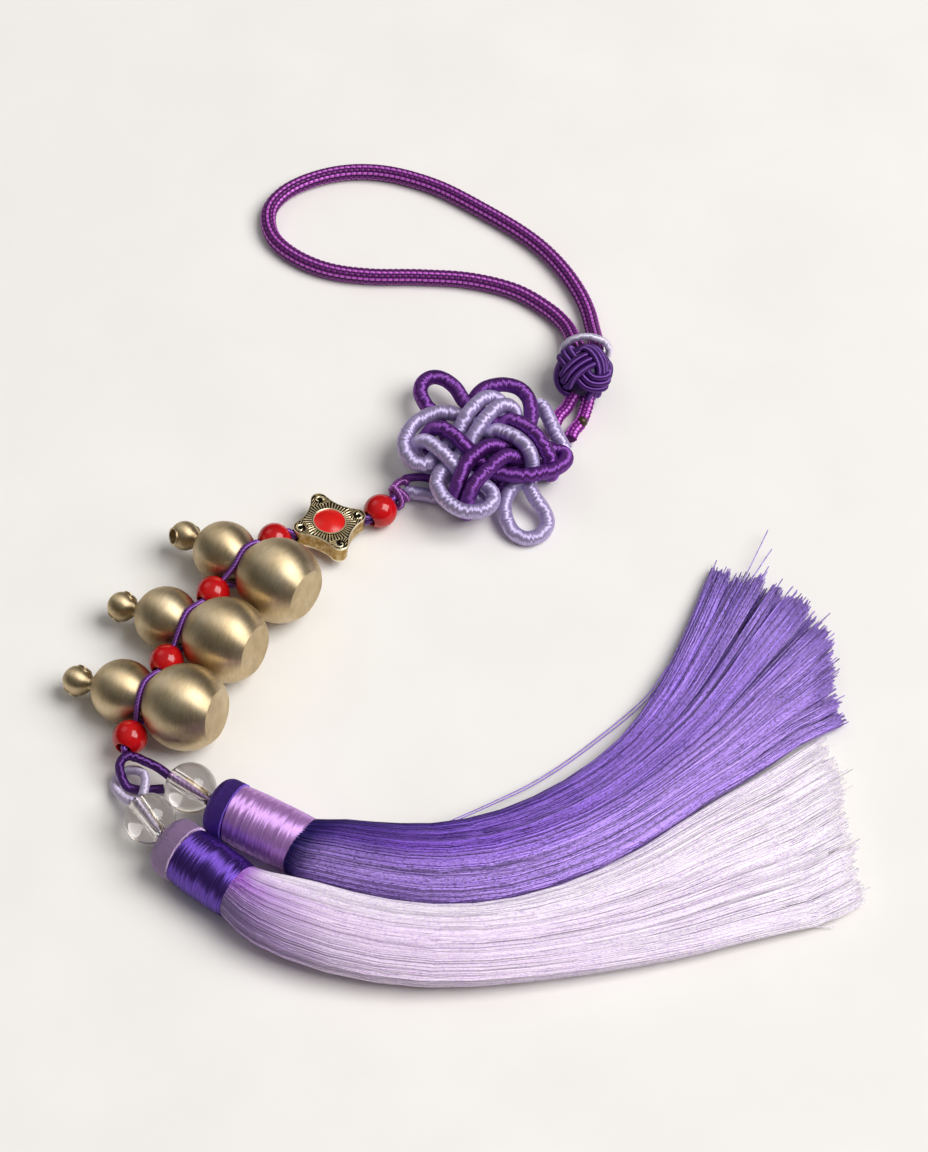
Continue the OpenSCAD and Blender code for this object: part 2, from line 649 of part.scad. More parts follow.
module tassel_cord_2() {
    color("#8a4ab8")
        tassel_cord(clear_2_at, clear_2_heading, tassel_2_at, tassel_2_heading, tassel_2_cap_l);
}

// A drum with a rounded rim at its free end and a hole for the cord
module tassel_cap(at, turn, length) {
    flat_r = tassel_head_d / 2 - cap_round;
    tassel_head(at, turn)
        rotate([180, 0, 0])
            translate([0, 0, gap / 2])
                difference() {
                    rotate_extrude() {
                        square([flat_r, length]);
                        square([tassel_head_d / 2, length - cap_round]);
                        translate([flat_r, length - cap_round])
                            intersection() {
                                circle(r = cap_round);
                                square(cap_round);
                            }
                    }
                    translate([0, 0, -1])
                        cylinder(d = tassel_cap_hole_d, h = length + 2);
                }
}

module tassel_1_cap() {
    color("#a98abb")
        tassel_cap(tassel_1_at, tassel_1_heading, tassel_1_cap_l);
}

module tassel_2_cap() {
    color("#3a1e9a")
        tassel_cap(tassel_2_at, tassel_2_heading, tassel_2_cap_l);
}

module tassel_collar(at, turn, length) {
    tassel_head(at, turn)
        difference() {
            cylinder(d = tassel_head_d, h = length);
            translate([0, 0, -1])
                cylinder(d = tassel_head_d - 2 * tassel_collar_wall, h = length + 2);
        }
}

module tassel_1_collar() {
    color("#34206e")
        tassel_collar(tassel_1_at, tassel_1_heading, tassel_1_collar_l);
}

module tassel_2_collar() {
    color("#c89ae0")
        tassel_collar(tassel_2_at, tassel_2_heading, tassel_2_collar_l);
}

// Share of the skirt's full thickness at a place across it, from 0 to 1
function skirt_swell(v) = sqrt(1 - skirt_thin * pow(2 * v - 1, 2));

// The line across the skirt at one section
function section_span(row) = [row[edge_rx] - row[edge_lx], row[edge_ry] - row[edge_ly], 0];

// Middle of a lock at one section
function lock_middle(row, v) = [row[edge_lx], row[edge_ly], row[edge_z]] + section_span(row) * v;

// One lock of a skirt: a tube whose sections follow the skirt's, with a blunt tip
module skirt_lock(table, k, reach) {
    sides = 8;
    v = (k + 0.5) / skirt_locks;
    rows = len(table);
    tip_way = lock_middle(table[rows - 1], v) - lock_middle(table[rows - 2], v);
    tip = lock_middle(table[rows - 1], v) + unit([tip_way[0], tip_way[1], 0]) * reach[min(k, len(reach) - 1)];
    points = [for (i = [0 : rows])
        let (row = table[min(i, rows - 1)],
             middle = i == rows ? tip : lock_middle(row, v),
             shrink = i == rows ? lock_tip : 1,
             half_w = norm(section_span(row)) / skirt_locks * lock_overlap * shrink,
             half_t = row[edge_t] / 2 * skirt_swell(v) * (k % 2 == 0 ? 1 : lock_low) * shrink)
        for (j = [0 : sides - 1])
            let (a = 360 * (j + 0.5) / sides)
            middle + unit(section_span(row)) * half_w * cos(a) + [0, 0, half_t * sin(a)]];
    polyhedron(points, concat(tube_sides(rows + 1, sides), tube_ends(rows + 1, sides)));
}

// The locks start in a round neck that fills the collar.
module tassel_skirt(at, turn, length, table, reach) {
    neck_d = tassel_head_d - 2 * tassel_collar_wall - 2 * gap;
    tassel_head(at, turn)
        translate([0, 0, gap])
            cylinder(d = neck_d, h = length + neck_reach, $fn = 12);
    laid_out()
        for (k = [0 : skirt_locks - 1])
            skirt_lock(table, k, reach);
}

module tassel_1_skirt() {
    color("#dcc4ef")
        tassel_skirt(tassel_1_at, tassel_1_heading, tassel_1_collar_l, skirt_1_table, skirt_1_reach);
}

module tassel_2_skirt() {
    color("#4a26a0")
        tassel_skirt(tassel_2_at, tassel_2_heading, tassel_2_collar_l, skirt_2_table, skirt_2_reach);
}

hanging_loop();
stem_cords();
loop_ring();
button_knot();
knot_purple();
knot_lavender();
knot_tie();
for (i = [0 : len(red_table) - 1])
    red_bead(i);
spacer_bead();
spacer_enamel();
for (i = [0 : len(gourd_table) - 1])
    gourd(i);
string_over();
string_under();
link_purple();
link_lavender();
clear_bead(clear_1_at, clear_1_heading);  // clear_bead_1
clear_bead(clear_2_at, clear_2_heading);  // clear_bead_2
tassel_cord_1();
tassel_cord_2();
tassel_1_cap();
tassel_1_collar();
tassel_1_skirt();
tassel_2_cap();
tassel_2_collar();
tassel_2_skirt();
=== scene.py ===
"""The looks of the gourd charm: thread, braid, brass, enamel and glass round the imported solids.

Places are millimetres in the charm's own layout, as in the CAD, until to_frame() turns them into metres.
"""

import math

import bmesh
import bpy
import numpy as np
from mathutils import Euler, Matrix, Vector


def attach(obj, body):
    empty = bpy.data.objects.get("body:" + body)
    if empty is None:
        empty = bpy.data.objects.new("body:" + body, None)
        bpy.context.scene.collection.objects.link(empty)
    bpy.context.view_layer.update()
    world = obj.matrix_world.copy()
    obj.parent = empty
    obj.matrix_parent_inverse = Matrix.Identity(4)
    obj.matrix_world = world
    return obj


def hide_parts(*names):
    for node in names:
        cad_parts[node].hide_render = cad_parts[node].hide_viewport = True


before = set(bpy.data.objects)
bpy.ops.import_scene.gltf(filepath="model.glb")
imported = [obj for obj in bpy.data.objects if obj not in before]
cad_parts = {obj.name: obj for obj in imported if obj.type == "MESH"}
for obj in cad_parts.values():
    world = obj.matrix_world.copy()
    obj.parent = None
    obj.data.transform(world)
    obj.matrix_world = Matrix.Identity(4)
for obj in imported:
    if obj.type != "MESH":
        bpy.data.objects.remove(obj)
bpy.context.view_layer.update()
bpy.context.scene.view_settings.view_transform = "Standard"

MM = 0.001
BODY = "root"
# The layout's zero in the frame, in millimetres
LAYOUT_SHIFT = np.array([1.6, 15.0, 0.0])
# The main knot's own grid: its middle in the layout and its turn about Z
KNOT_AT = np.array([3.5, 26.5, 0.0])
KNOT_TURN = math.radians(-45)
UP = np.array([0.0, 0.0, 1.0])

# The camera, matched to a photograph 1152 pixels high
CAMERA_AT = (0.0016, -0.3578, 0.5375)
CAMERA_TILT = math.radians(35)
PICTURE_H = 1152
FOCAL_PIXELS = 3737.5

# Route of the hanging loop, from the button knot out and back
LOOP_ROUTE = [
    (23.9, 50.2, 5.2), (24, 53.5, 3.4), (23.6, 57.5, 1.8), (22.8, 62, 1.5), (21.2, 66.5, 1.5),
    (18.6, 71.5, 1.5), (15, 76.5, 1.5), (10.5, 81, 1.5), (3.8, 86.2, 1.5), (-4.5, 91.8, 1.5),
    (-13, 95.2, 1.5), (-20.5, 96, 1.5), (-27.5, 94.5, 1.5), (-33.5, 91, 1.5), (-36.6, 86, 1.5),
    (-35.8, 80, 1.5), (-31.6, 75.2, 1.5), (-25.2, 71.8, 1.5), (-17.5, 70.4, 1.5), (-8, 70.2, 1.5),
    (1.2, 69.4, 1.5), (9.4, 66.8, 1.5), (15.2, 62.6, 1.5), (18.6, 58.4, 1.8), (20, 53.8, 3.4),
    (20.7, 50.6, 4.8),
]

# The cord's first end below the button knot
STEM_ROUTE_A = [
    (20.4, 41.8, 4.4), (19.8, 41.1, 3.4), (19.1, 40.3, 2.4), (18.6, 39.6, 1.8), (18, 38.9, 1.5),
    (17, 37.7, 1.4), (16.2, 35.4, 1.4), (16.2, 33.4, 1.4),
]

# Its second end
STEM_ROUTE_B = [
    (22.9, 41.8, 4.4), (22.6, 41, 3.3), (22.3, 40, 2.3), (21.9, 38.9, 1.6), (21.7, 38.3, 1.4),
    (21.5, 37.6, 1.4), (20.9, 36.1, 1.4), (20, 34.9, 1.4), (19.4, 33.8, 1.4), (19.1, 32.7, 1.4),
]

# Purple strand 1: face strand, side loop on the right, second lower face strand, back
PURPLE_1 = [
    (5.8, -3.8, 3.95), (2.2, -3.8, 3.95), (0.2, -3.8, 2.6), (-1.4, -3.8, 1.5), (-3, -3.8, 1.4),
    (-6.5, -3.8, 1.4), (-9.4, -4.2, 1.5), (-10.6, -4.8, 3.4), (-9.6, -4.9, 5.8), (-8.8, -4.2, 8),
    (-7, -3.4, 9.3), (-4.8, -3.2, 9.6), (-2.4, -3.3, 9.6), (-0.8, -3.2, 9.1), (0.4, -3, 8.2),
    (1.5, -2.8, 7.2), (3.2, -2.6, 6.6), (5.2, -2.3, 6.7), (6.8, -1.5, 7), (9.2, 0.1, 7.3),
    (11.2, 2.9, 7.3), (12.4, 5.9, 7.1), (12, 8.5, 6.4), (10.4, 9.9, 5.6), (8.4, 9.4, 5.4),
    (6.6, 8, 5.9), (5.8, 6, 6.5), (5.8, 4, 6.6), (5.7, 2.3, 7.3), (5.2, 0.6, 8.9), (5.1, -1.6, 9.5),
    (5.3, -4.6, 9.6), (5.6, -7.6, 9.4), (5.8, -9, 8.2), (5.7, -9.7, 6.2), (5.6, -10.2, 4),
    (5.5, -9.8, 2), (5.6, -8, 1.4), (5.6, -5, 1.4), (5.6, -2, 1.8), (5.6, 0.8, 3.7), (5.6, 4, 3.95),
    (5.6, 7.5, 3.95),
]

# Purple strand 2: open ear on the left, upper face strand, back
PURPLE_2 = [
    (-8.6, -0.8, 3), (-11, 0, 3.8), (-13.2, 0.5, 4.4), (-15.6, 0.8, 4.6), (-18.2, 2.1, 4.6),
    (-19.4, 4.2, 4.6), (-18.9, 6.2, 4.6), (-17, 7.2, 4.6), (-14.2, 7.1, 4.8), (-10.8, 5.8, 5.4),
    (-8.5, 5.4, 6.1), (-6, 5.5, 6.4), (-3.2, 5.4, 6.6), (-1.2, 5.7, 7.6), (0.3, 6.7, 9),
    (3.2, 7.3, 9.5), (6.8, 7, 9.4), (8.9, 6.7, 8.4), (10.2, 6.5, 6.6), (10.7, 6.6, 4.4),
    (10.2, 6.8, 2.2), (8.5, 7, 1.4), (5.6, 7, 1.4), (2.2, 7, 1.4), (0.8, 7, 2), (-0.6, 6.9, 3.6),
    (-2.4, 6.9, 3.95), (-5.6, 7, 3.95), (-8.4, 7, 3.6),
]

# Purple strand 3: loop on top, first lower face strand, back
PURPLE_3 = [
    (-10, 6, 3), (-9.8, 7.2, 5), (-9.5, 9, 6.6), (-8.7, 10.9, 7), (-7.2, 12.8, 7), (-4.8, 13.9, 7),
    (-2, 13.4, 7), (0.6, 11.4, 6.8), (2.2, 9.2, 6.6), (2.8, 7, 6.5), (2.6, 4.2, 6.6), (2.2, 2, 7.5),
    (1.6, 0, 9), (1.3, -2.2, 9.5), (1.5, -5, 9.6), (2.4, -7.8, 9.4), (2.9, -9.2, 8.2),
    (2.9, -9.8, 6.2), (2.7, -10.2, 4), (2.3, -9.8, 2), (2.2, -8, 1.4), (2.2, -5, 1.4), (2.2, -2, 1.8),
    (2.2, 0.8, 3.7), (2.2, 4, 3.95), (2.2, 7.5, 3.95),
]

# Lavender strand 1: first upper face strand, loop on the left, middle face strand, back
LAVENDER_1 = [
    (-5.6, -7.6, 3.95), (-5.6, -5, 3.95), (-5.6, -2.4, 3.95), (-5.6, 0.2, 2.3), (-5.6, 2, 1.4),
    (-5.6, 4, 1.4), (-5.6, 8, 1.4), (-5.9, 10.2, 1.9), (-6.2, 10.7, 4), (-6.5, 9.9, 6),
    (-6.8, 8.5, 7.6), (-6.8, 6.7, 8.8), (-6.4, 4.2, 9.4), (-5.9, 1.6, 9.4), (-5.4, -0.6, 8.2),
    (-5.2, -2.6, 6.9), (-5, -5, 6.7), (-4.8, -7.8, 6.7), (-4.7, -9.6, 6.9), (-6, -10.9, 7),
    (-8.6, -10.7, 7), (-11.1, -8.8, 7), (-12.4, -5.4, 7), (-12, -1.8, 7.1), (-10.3, 0.8, 7),
    (-8, 2.2, 6.8), (-5.8, 2.7, 6.6), (-2.8, 2.8, 6.6), (-1.1, 3, 7.8), (0.4, 3.6, 9), (3.6, 4.3, 9.5),
    (6.6, 4.2, 9.3), (8, 3.9, 8.2), (8.5, 3.7, 6.2), (8.6, 3.7, 4), (8.2, 3.7, 2.2), (7, 3.7, 1.4),
    (5.6, 3.6, 1.4), (2.2, 3.6, 1.4), (1, 3.6, 1.4), (-0.8, 3.6, 2.9), (-2.4, 3.6, 3.95),
    (-5.6, 3.6, 3.95), (-7.4, 3.5, 3.8),
]

# Lavender strand 2: second upper face strand, loop below, left face strand, back
LAVENDER_2 = [
    (-2.2, -8.8, 3.95), (-2.2, -5.4, 3.95), (-2.2, -2.4, 3.95), (-2.2, 0.2, 2.3), (-2.2, 2, 1.4),
    (-2.2, 4, 1.4), (-2, 7.6, 1.4), (-1.1, 9.4, 2.1), (-0.7, 9.6, 4), (-1, 9.2, 6.2), (-1.7, 9.2, 8),
    (-2.8, 8.4, 9.1), (-3.3, 6.4, 9.5), (-3, 3.6, 9.6), (-2.5, 1, 9.2), (-2.2, -1, 7.9),
    (-2, -2.8, 6.8), (-1.9, -5, 6.6), (-1.8, -7.4, 6.6), (-1.5, -9.4, 6.9), (0, -11.7, 7),
    (3.4, -12.9, 7), (7, -12.5, 7), (9.3, -10.5, 7), (9.8, -8.2, 7), (8.6, -6.3, 6.8),
    (6.6, -5.6, 6.6), (4, -6, 6.6), (1.6, -6.8, 6.9), (-0.4, -7.1, 8.4), (-2.4, -7.2, 9.3),
    (-4.6, -7.2, 9.5), (-7, -7.2, 9), (-8.6, -7.6, 7.6), (-9.2, -8, 5.6), (-9.4, -8, 3.6),
    (-8.6, -7.5, 1.7), (-6.5, -7.2, 1.4), (-3, -7.2, 1.4), (-1, -7.2, 2.4), (1.4, -7.2, 3.8),
    (5.6, -7.2, 3.95), (8.5, -7.2, 3.95),
]

# Lavender ear that lies open beside the knot
LAVENDER_EAR = [
    (8.3, 0.6, 4.2), (8.3, -1, 4), (8.6, -2.7, 3.6), (9.4, -4.2, 3), (11.4, -5.8, 2.1),
    (14.2, -6.6, 1.5), (16.6, -5.8, 1.4), (17.7, -3.4, 1.4), (16.9, -1, 1.6), (14.8, 0.2, 2.2),
    (12.1, 0.6, 3.2), (10.4, 1.2, 3.9), (9.4, 2, 4),
]

# Lavender strand that stands off the upper right side
LAVENDER_SIDE = [
    (-1.2, 13.2, 2.2), (-1.5, 15, 3.2), (-0.5, 15.3, 4.5), (1.6, 14.5, 4.7), (5, 12.9, 4.7),
    (7.2, 12.1, 4.3), (9, 11.8, 3.4),
]

# Lavender strand of the tail
TAIL_LAVENDER = [
    (-9.9, 20.5, 1.8), (-9.2, 20.4, 1.8), (-8.3, 20.3, 1.7), (-7.1, 20.1, 1.6), (-5.8, 19.8, 1.5),
    (-4.3, 19.5, 1.5),
]

# Purple strand of the tail
TAIL_PURPLE = [
    (-11.1, 22, 2.8), (-10.3, 22.7, 2.9), (-9.3, 22.9, 2.9), (-8.3, 23.1, 2.8), (-7.2, 23.2, 2.6),
    (-6.3, 23.1, 2.5), (-5.4, 22.9, 2.4),
]

# Link cords between the last red bead and the tassels
LINK_PURPLE = [
    (-55.3, -37.2, 5), (-56.4, -37.2, 5.5), (-57.5, -37.7, 5.1), (-57.9, -38.9, 4.4), (-57.5, -40.1, 3.4),
    (-56.8, -41, 2.2), (-55.6, -41.1, 1.2), (-54, -41.1, 0.95), (-52.4, -41, 0.95), (-50.6, -40.9, 1),
]

# Its branch to the farther clear bead
LINK_PURPLE_BRANCH = [
    (-55.6, -37.2, 5.1), (-54.8, -37.4, 5.1), (-53.7, -37.8, 4.8), (-52.4, -38.3, 4.5), (-51, -39.1, 4.3),
    (-49.6, -40.4, 4.4),
]

# The lavender link
LINK_LAVENDER = [
    (-53.8, -44.4, 4.4), (-53.6, -43.1, 4), (-53.5, -41.3, 3.7), (-53.8, -39.7, 3.4), (-54.8, -38.5, 2.8),
    (-56, -37.8, 2), (-57.1, -37.5, 1.2), (-58.2, -38.2, 0.95), (-58.8, -39.6, 1), (-58.5, -41.5, 1.6),
    (-57, -43.8, 2.8), (-55.4, -45.3, 4),
]

# Skirts: left edge, right edge, thickness and middle height at each section
LILAC_SKIRT = [
    (-34, -59.9, -39.8, -66.9, 9.8, 5.2), (-30.6, -60.9, -36.6, -70.6, 10.2, 5.2),
    (-25.6, -61.8, -30.4, -74.6, 10, 5.1), (-15.8, -64.4, -19, -78.4, 9, 4.6),
    (-5, -65.7, -5.4, -80, 8, 4.1), (6, -64.6, 8.4, -79, 7, 3.6), (17.8, -60.6, 23.4, -76.6, 6.2, 3.2),
    (29.2, -54.1, 37, -73.6, 5.4, 2.8), (40, -45.9, 49, -70, 4.6, 2.4),
    (50.3, -39, 58, -67.6, 3.8, 2), (57.4, -33.6, 63.6, -64.6, 3.2, 1.7),
]

# The purple skirt
PURPLE_SKIRT = [
    (-23.2, -50.7, -28.6, -60.4, 10.2, 5.4), (-18.6, -50.6, -24.2, -61.7, 10.4, 5.3),
    (-12, -51, -15, -64, 10, 5.1), (-4, -50.6, -4.6, -65.2, 9.2, 4.7), (5, -48, 7.2, -63.8, 8.2, 4.2),
    (14, -43.2, 19.8, -59.1, 7.4, 3.8), (22, -37, 30.8, -52.5, 6.6, 3.4),
    (28.2, -30, 40.3, -45.1, 5.8, 3), (33.4, -21, 49.6, -38.7, 5, 2.6),
    (37.8, -10.6, 57.2, -32.7, 4.2, 2.2), (41.4, -0.6, 62.8, -29.6, 3.4, 1.8),
]


# Geometry

# Points in which a route's spline is worked out before it is walked, for each point of the route
WALK_FINE = 16
# Values that the materials read at a mesh's points, beside its lead
VALUES = ("crest", "tone", "along")
# Radius of the tiny openings at the poles of a ball, which keep its rings from falling into one point
POLE_R = 0.01


def unit(v):
    """Vectors made one long."""
    v = np.asarray(v, float)
    return v / np.linalg.norm(v, axis=-1, keepdims=True)


def level(degrees):
    """A level direction at an angle."""
    return np.array([math.cos(math.radians(degrees)), math.sin(math.radians(degrees)), 0.0])


def circle(count):
    """Even angles all round."""
    return np.linspace(0, 2 * math.pi, count, endpoint=False)


def to_frame(points):
    """Layout millimetres as the frame's metres."""
    return (np.asarray(points, float) + LAYOUT_SHIFT) * MM


def from_knot(points):
    """Points of the knot's grid in the layout."""
    x, y, z = np.asarray(points, float).T
    c, s = math.cos(KNOT_TURN), math.sin(KNOT_TURN)
    return np.stack([c * x - s * y, s * x + c * y, z], axis=1) + KNOT_AT


def placed(points, at, angles):
    """Local points turned about X, Y and Z in that order, in degrees, and moved to a place."""
    turn = np.array(Euler([math.radians(a) for a in angles]).to_matrix())
    return np.asarray(points, float) @ turn.T + np.asarray(at, float)


def spline(rows, u):
    """A smooth curve through rows, which lie at whole numbers of u. It goes straight on past the last."""
    rows = np.asarray(rows, float)
    last = len(rows) - 1
    inside = np.clip(u, 0, last)
    i = np.minimum(np.floor(inside).astype(int), last - 1)
    t = (inside - i)[..., None]
    a, b, c, d = (rows[np.clip(i + k, 0, last)] for k in (-1, 0, 1, 2))
    curve = b + ((c - a) * t + (2 * a - 5 * b + 4 * c - d) * t**2 + (3 * b - a - 3 * c + d) * t**3) / 2
    return curve + (u - inside)[..., None] * (rows[last] - rows[last - 1])


def walk(route, step):
    """A smooth path along a route, with its points evenly spaced about a step apart."""
    fine = spline(route, np.linspace(0, len(route) - 1, WALK_FINE * len(route)))
    run = np.concatenate([[0], np.cumsum(np.linalg.norm(np.diff(fine, axis=0), axis=1))])
    at = np.linspace(0, run[-1], max(2, round(run[-1] / step)) + 1)
    return np.stack([np.interp(at, run, fine[:, k]) for k in range(3)], axis=1)


def across(path):
    """Directions along a path and two directions across it, carried along without a twist."""
    along = unit(np.gradient(path, axis=0))
    side = np.empty_like(along)
    side[0] = unit(np.cross(along[0], UP if abs(along[0][2]) < 0.9 else [1.0, 0.0, 0.0]))
    for i in range(1, len(path)):
        side[i] = unit(side[i - 1] - along[i] * (side[i - 1] @ along[i]))
    return along, side, np.cross(along, side)


def tube(path, radius, sides, shift=0.0):
    """Rings of points round a path. The radius, and the shift along the path, may differ at each point."""
    along, side, lift = (v[:, None] for v in across(path))
    a = circle(sides)[None, :, None]
    radius, shift = (np.broadcast_to(v, (len(path), sides))[..., None] for v in (radius, shift))
    return path[:, None] + radius * (np.cos(a) * side + np.sin(a) * lift) + shift * along


def lathe(profile, sides):
    """Rings of points turned about Z from rows of step along the axis and distance from it."""
    z, r = (np.asarray(v, float)[:, None] for v in zip(*profile))
    a = circle(sides)[None]
    return np.stack([r * np.cos(a), r * np.sin(a), z + 0 * a], axis=-1)


def ball(at, radius, steps=9, sides=16, angles=(0, 0, 0)):
    """Rings of points round a ball."""
    turns = np.linspace(0, math.pi, steps)
    profile = [(-radius * math.cos(t), radius * math.sin(t) + POLE_R) for t in turns]
    return placed(lathe(profile, sides), at, angles)


# Surfaces and pieces


def surface(rings, joined=False, lead="rings", **values):
    """Closed tubes as points, leads, faces and values. The axes of rings are the tube, ring, point and
    coordinate. Threads lie across the lead. It goes from ring to ring or, where lead is "round", from point
    to point."""
    rings = rings if rings.ndim == 4 else rings[None]
    index = np.arange(rings[..., 0].size).reshape(rings.shape[:3])
    turned = np.roll(index, -1, axis=2)
    if joined:
        walls = [index, turned, np.roll(turned, -1, axis=1), np.roll(index, -1, axis=1)]
        ends = []
    else:
        walls = [index[:, :-1], turned[:, :-1], turned[:, 1:], index[:, 1:]]
        ends = [index[:, 0, ::-1], index[:, -1]]
    faces = [np.stack(walls, -1).reshape(-1, 4), *ends]
    if lead == "round":
        ahead = np.roll(rings, -1, axis=2) - np.roll(rings, 1, axis=2)
    else:
        ahead = np.gradient(rings.mean(axis=2, keepdims=True), axis=1)
    ahead = ahead / np.maximum(np.linalg.norm(ahead, axis=-1, keepdims=True), 1e-9)
    leads = np.broadcast_to(ahead, rings.shape).reshape(-1, 3)
    values = [np.broadcast_to(values.get(name, 0.0), index.shape).ravel() for name in VALUES]
    return rings.reshape(-1, 3), leads, faces, values


def make_mesh(name, surfaces):
    """Surfaces as one mesh, with their values and leads for the materials to read."""
    points, leads, groups, values = zip(*surfaces)
    starts = np.cumsum([0, *(len(p) for p in points)])
    faces = [face + start for start, group in zip(starts, groups) for face in group]
    corners = np.concatenate([face.ravel() for face in faces]).astype(np.int32)
    sizes = np.concatenate([np.full(len(face), face.shape[1]) for face in faces])
    mesh = bpy.data.meshes.new(name)
    mesh.vertices.add(int(starts[-1]))
    mesh.vertices.foreach_set("co", to_frame(np.concatenate(points)).astype(np.float32).ravel())
    mesh.loops.add(len(corners))
    mesh.loops.foreach_set("vertex_index", corners)
    mesh.polygons.add(len(sizes))
    mesh.polygons.foreach_set("loop_start", (np.cumsum(sizes) - sizes).astype(np.int32))
    mesh.update(calc_edges=True)
    for key, parts in zip(VALUES, zip(*values)):
        value = mesh.attributes.new(key, "FLOAT", "POINT")
        value.data.foreach_set("value", np.concatenate(parts).astype(np.float32))
    lead = mesh.attributes.new("lead", "FLOAT_VECTOR", "POINT")
    lead.data.foreach_set("vector", np.concatenate(leads).astype(np.float32).ravel())
    mesh.shade_smooth()
    return mesh


def make_piece(name, surfaces, material, nodes, sharp=None):
    """Surfaces as a piece with its material, its body and the CAD nodes that it stands for. Edges
    that turn by more than the angle sharp are drawn sharp."""
    mesh = make_mesh(name, surfaces)
    mesh.materials.append(material)
    if sharp is not None:
        mesh.set_sharp_from_angle(angle=math.radians(sharp))
    piece = bpy.data.objects.new(name, mesh)
    bpy.context.scene.collection.objects.link(piece)
    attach(piece, BODY)
    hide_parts(*nodes)
    return piece


def join(piece, surfaces):
    """Adds surfaces to a piece."""
    added = make_mesh("added", surfaces)
    merged = bmesh.new()
    merged.from_mesh(piece.data)
    merged.from_mesh(added)
    merged.to_mesh(piece.data)
    merged.free()
    bpy.data.meshes.remove(added)


def cut(piece, rings, sharp):
    """Takes the body inside a closed tube away from a piece."""
    tool = bpy.data.objects.new("drill", make_mesh("drill", [surface(rings)]))
    tool.data.materials.append(piece.data.materials[0])
    bpy.context.scene.collection.objects.link(tool)
    cutter = piece.modifiers.new("cut", "BOOLEAN")
    cutter.object = tool
    cutter.solver = "EXACT"
    graph = bpy.context.evaluated_depsgraph_get()
    mesh = bpy.data.meshes.new_from_object(piece.evaluated_get(graph))
    piece.modifiers.clear()
    piece.data = mesh
    mesh.set_sharp_from_angle(angle=math.radians(sharp))
    bpy.data.objects.remove(tool)


# Materials

# Brown of a cord end that was melted shut, as text for colour()
SINGED = "#3f2c1e"
# Refraction that makes thread mirror as much light as silk does
THREAD_IOR = 2.2
# Millimetres that a thread goes before it leans another way, and its share of the jag
THREAD_RUN = 3
THREAD_SWAY = 0.4
# How far the roughness of thread goes up and down, and the lowest and the highest of silk
THREAD_ROUGH = 0.05
SILK_ROUGH = (0.33, 0.57)
# How fast the brushed lines of brass change round its axis, against along it
BRUSHED = 0.07
# Added to the lead of brass, which has no length of its own on a flat foot
FOOT_LEAD = (0.1, 0.17, 0.0)


def colour(text):
    """A colour such as #d8131a as the linear values that shaders take."""
    parts = [int(text[i : i + 2], 16) / 255 for i in (1, 3, 5)]
    return [c / 12.92 if c <= 0.04045 else ((c + 0.055) / 1.055) ** 2.4 for c in parts] + [1.0]


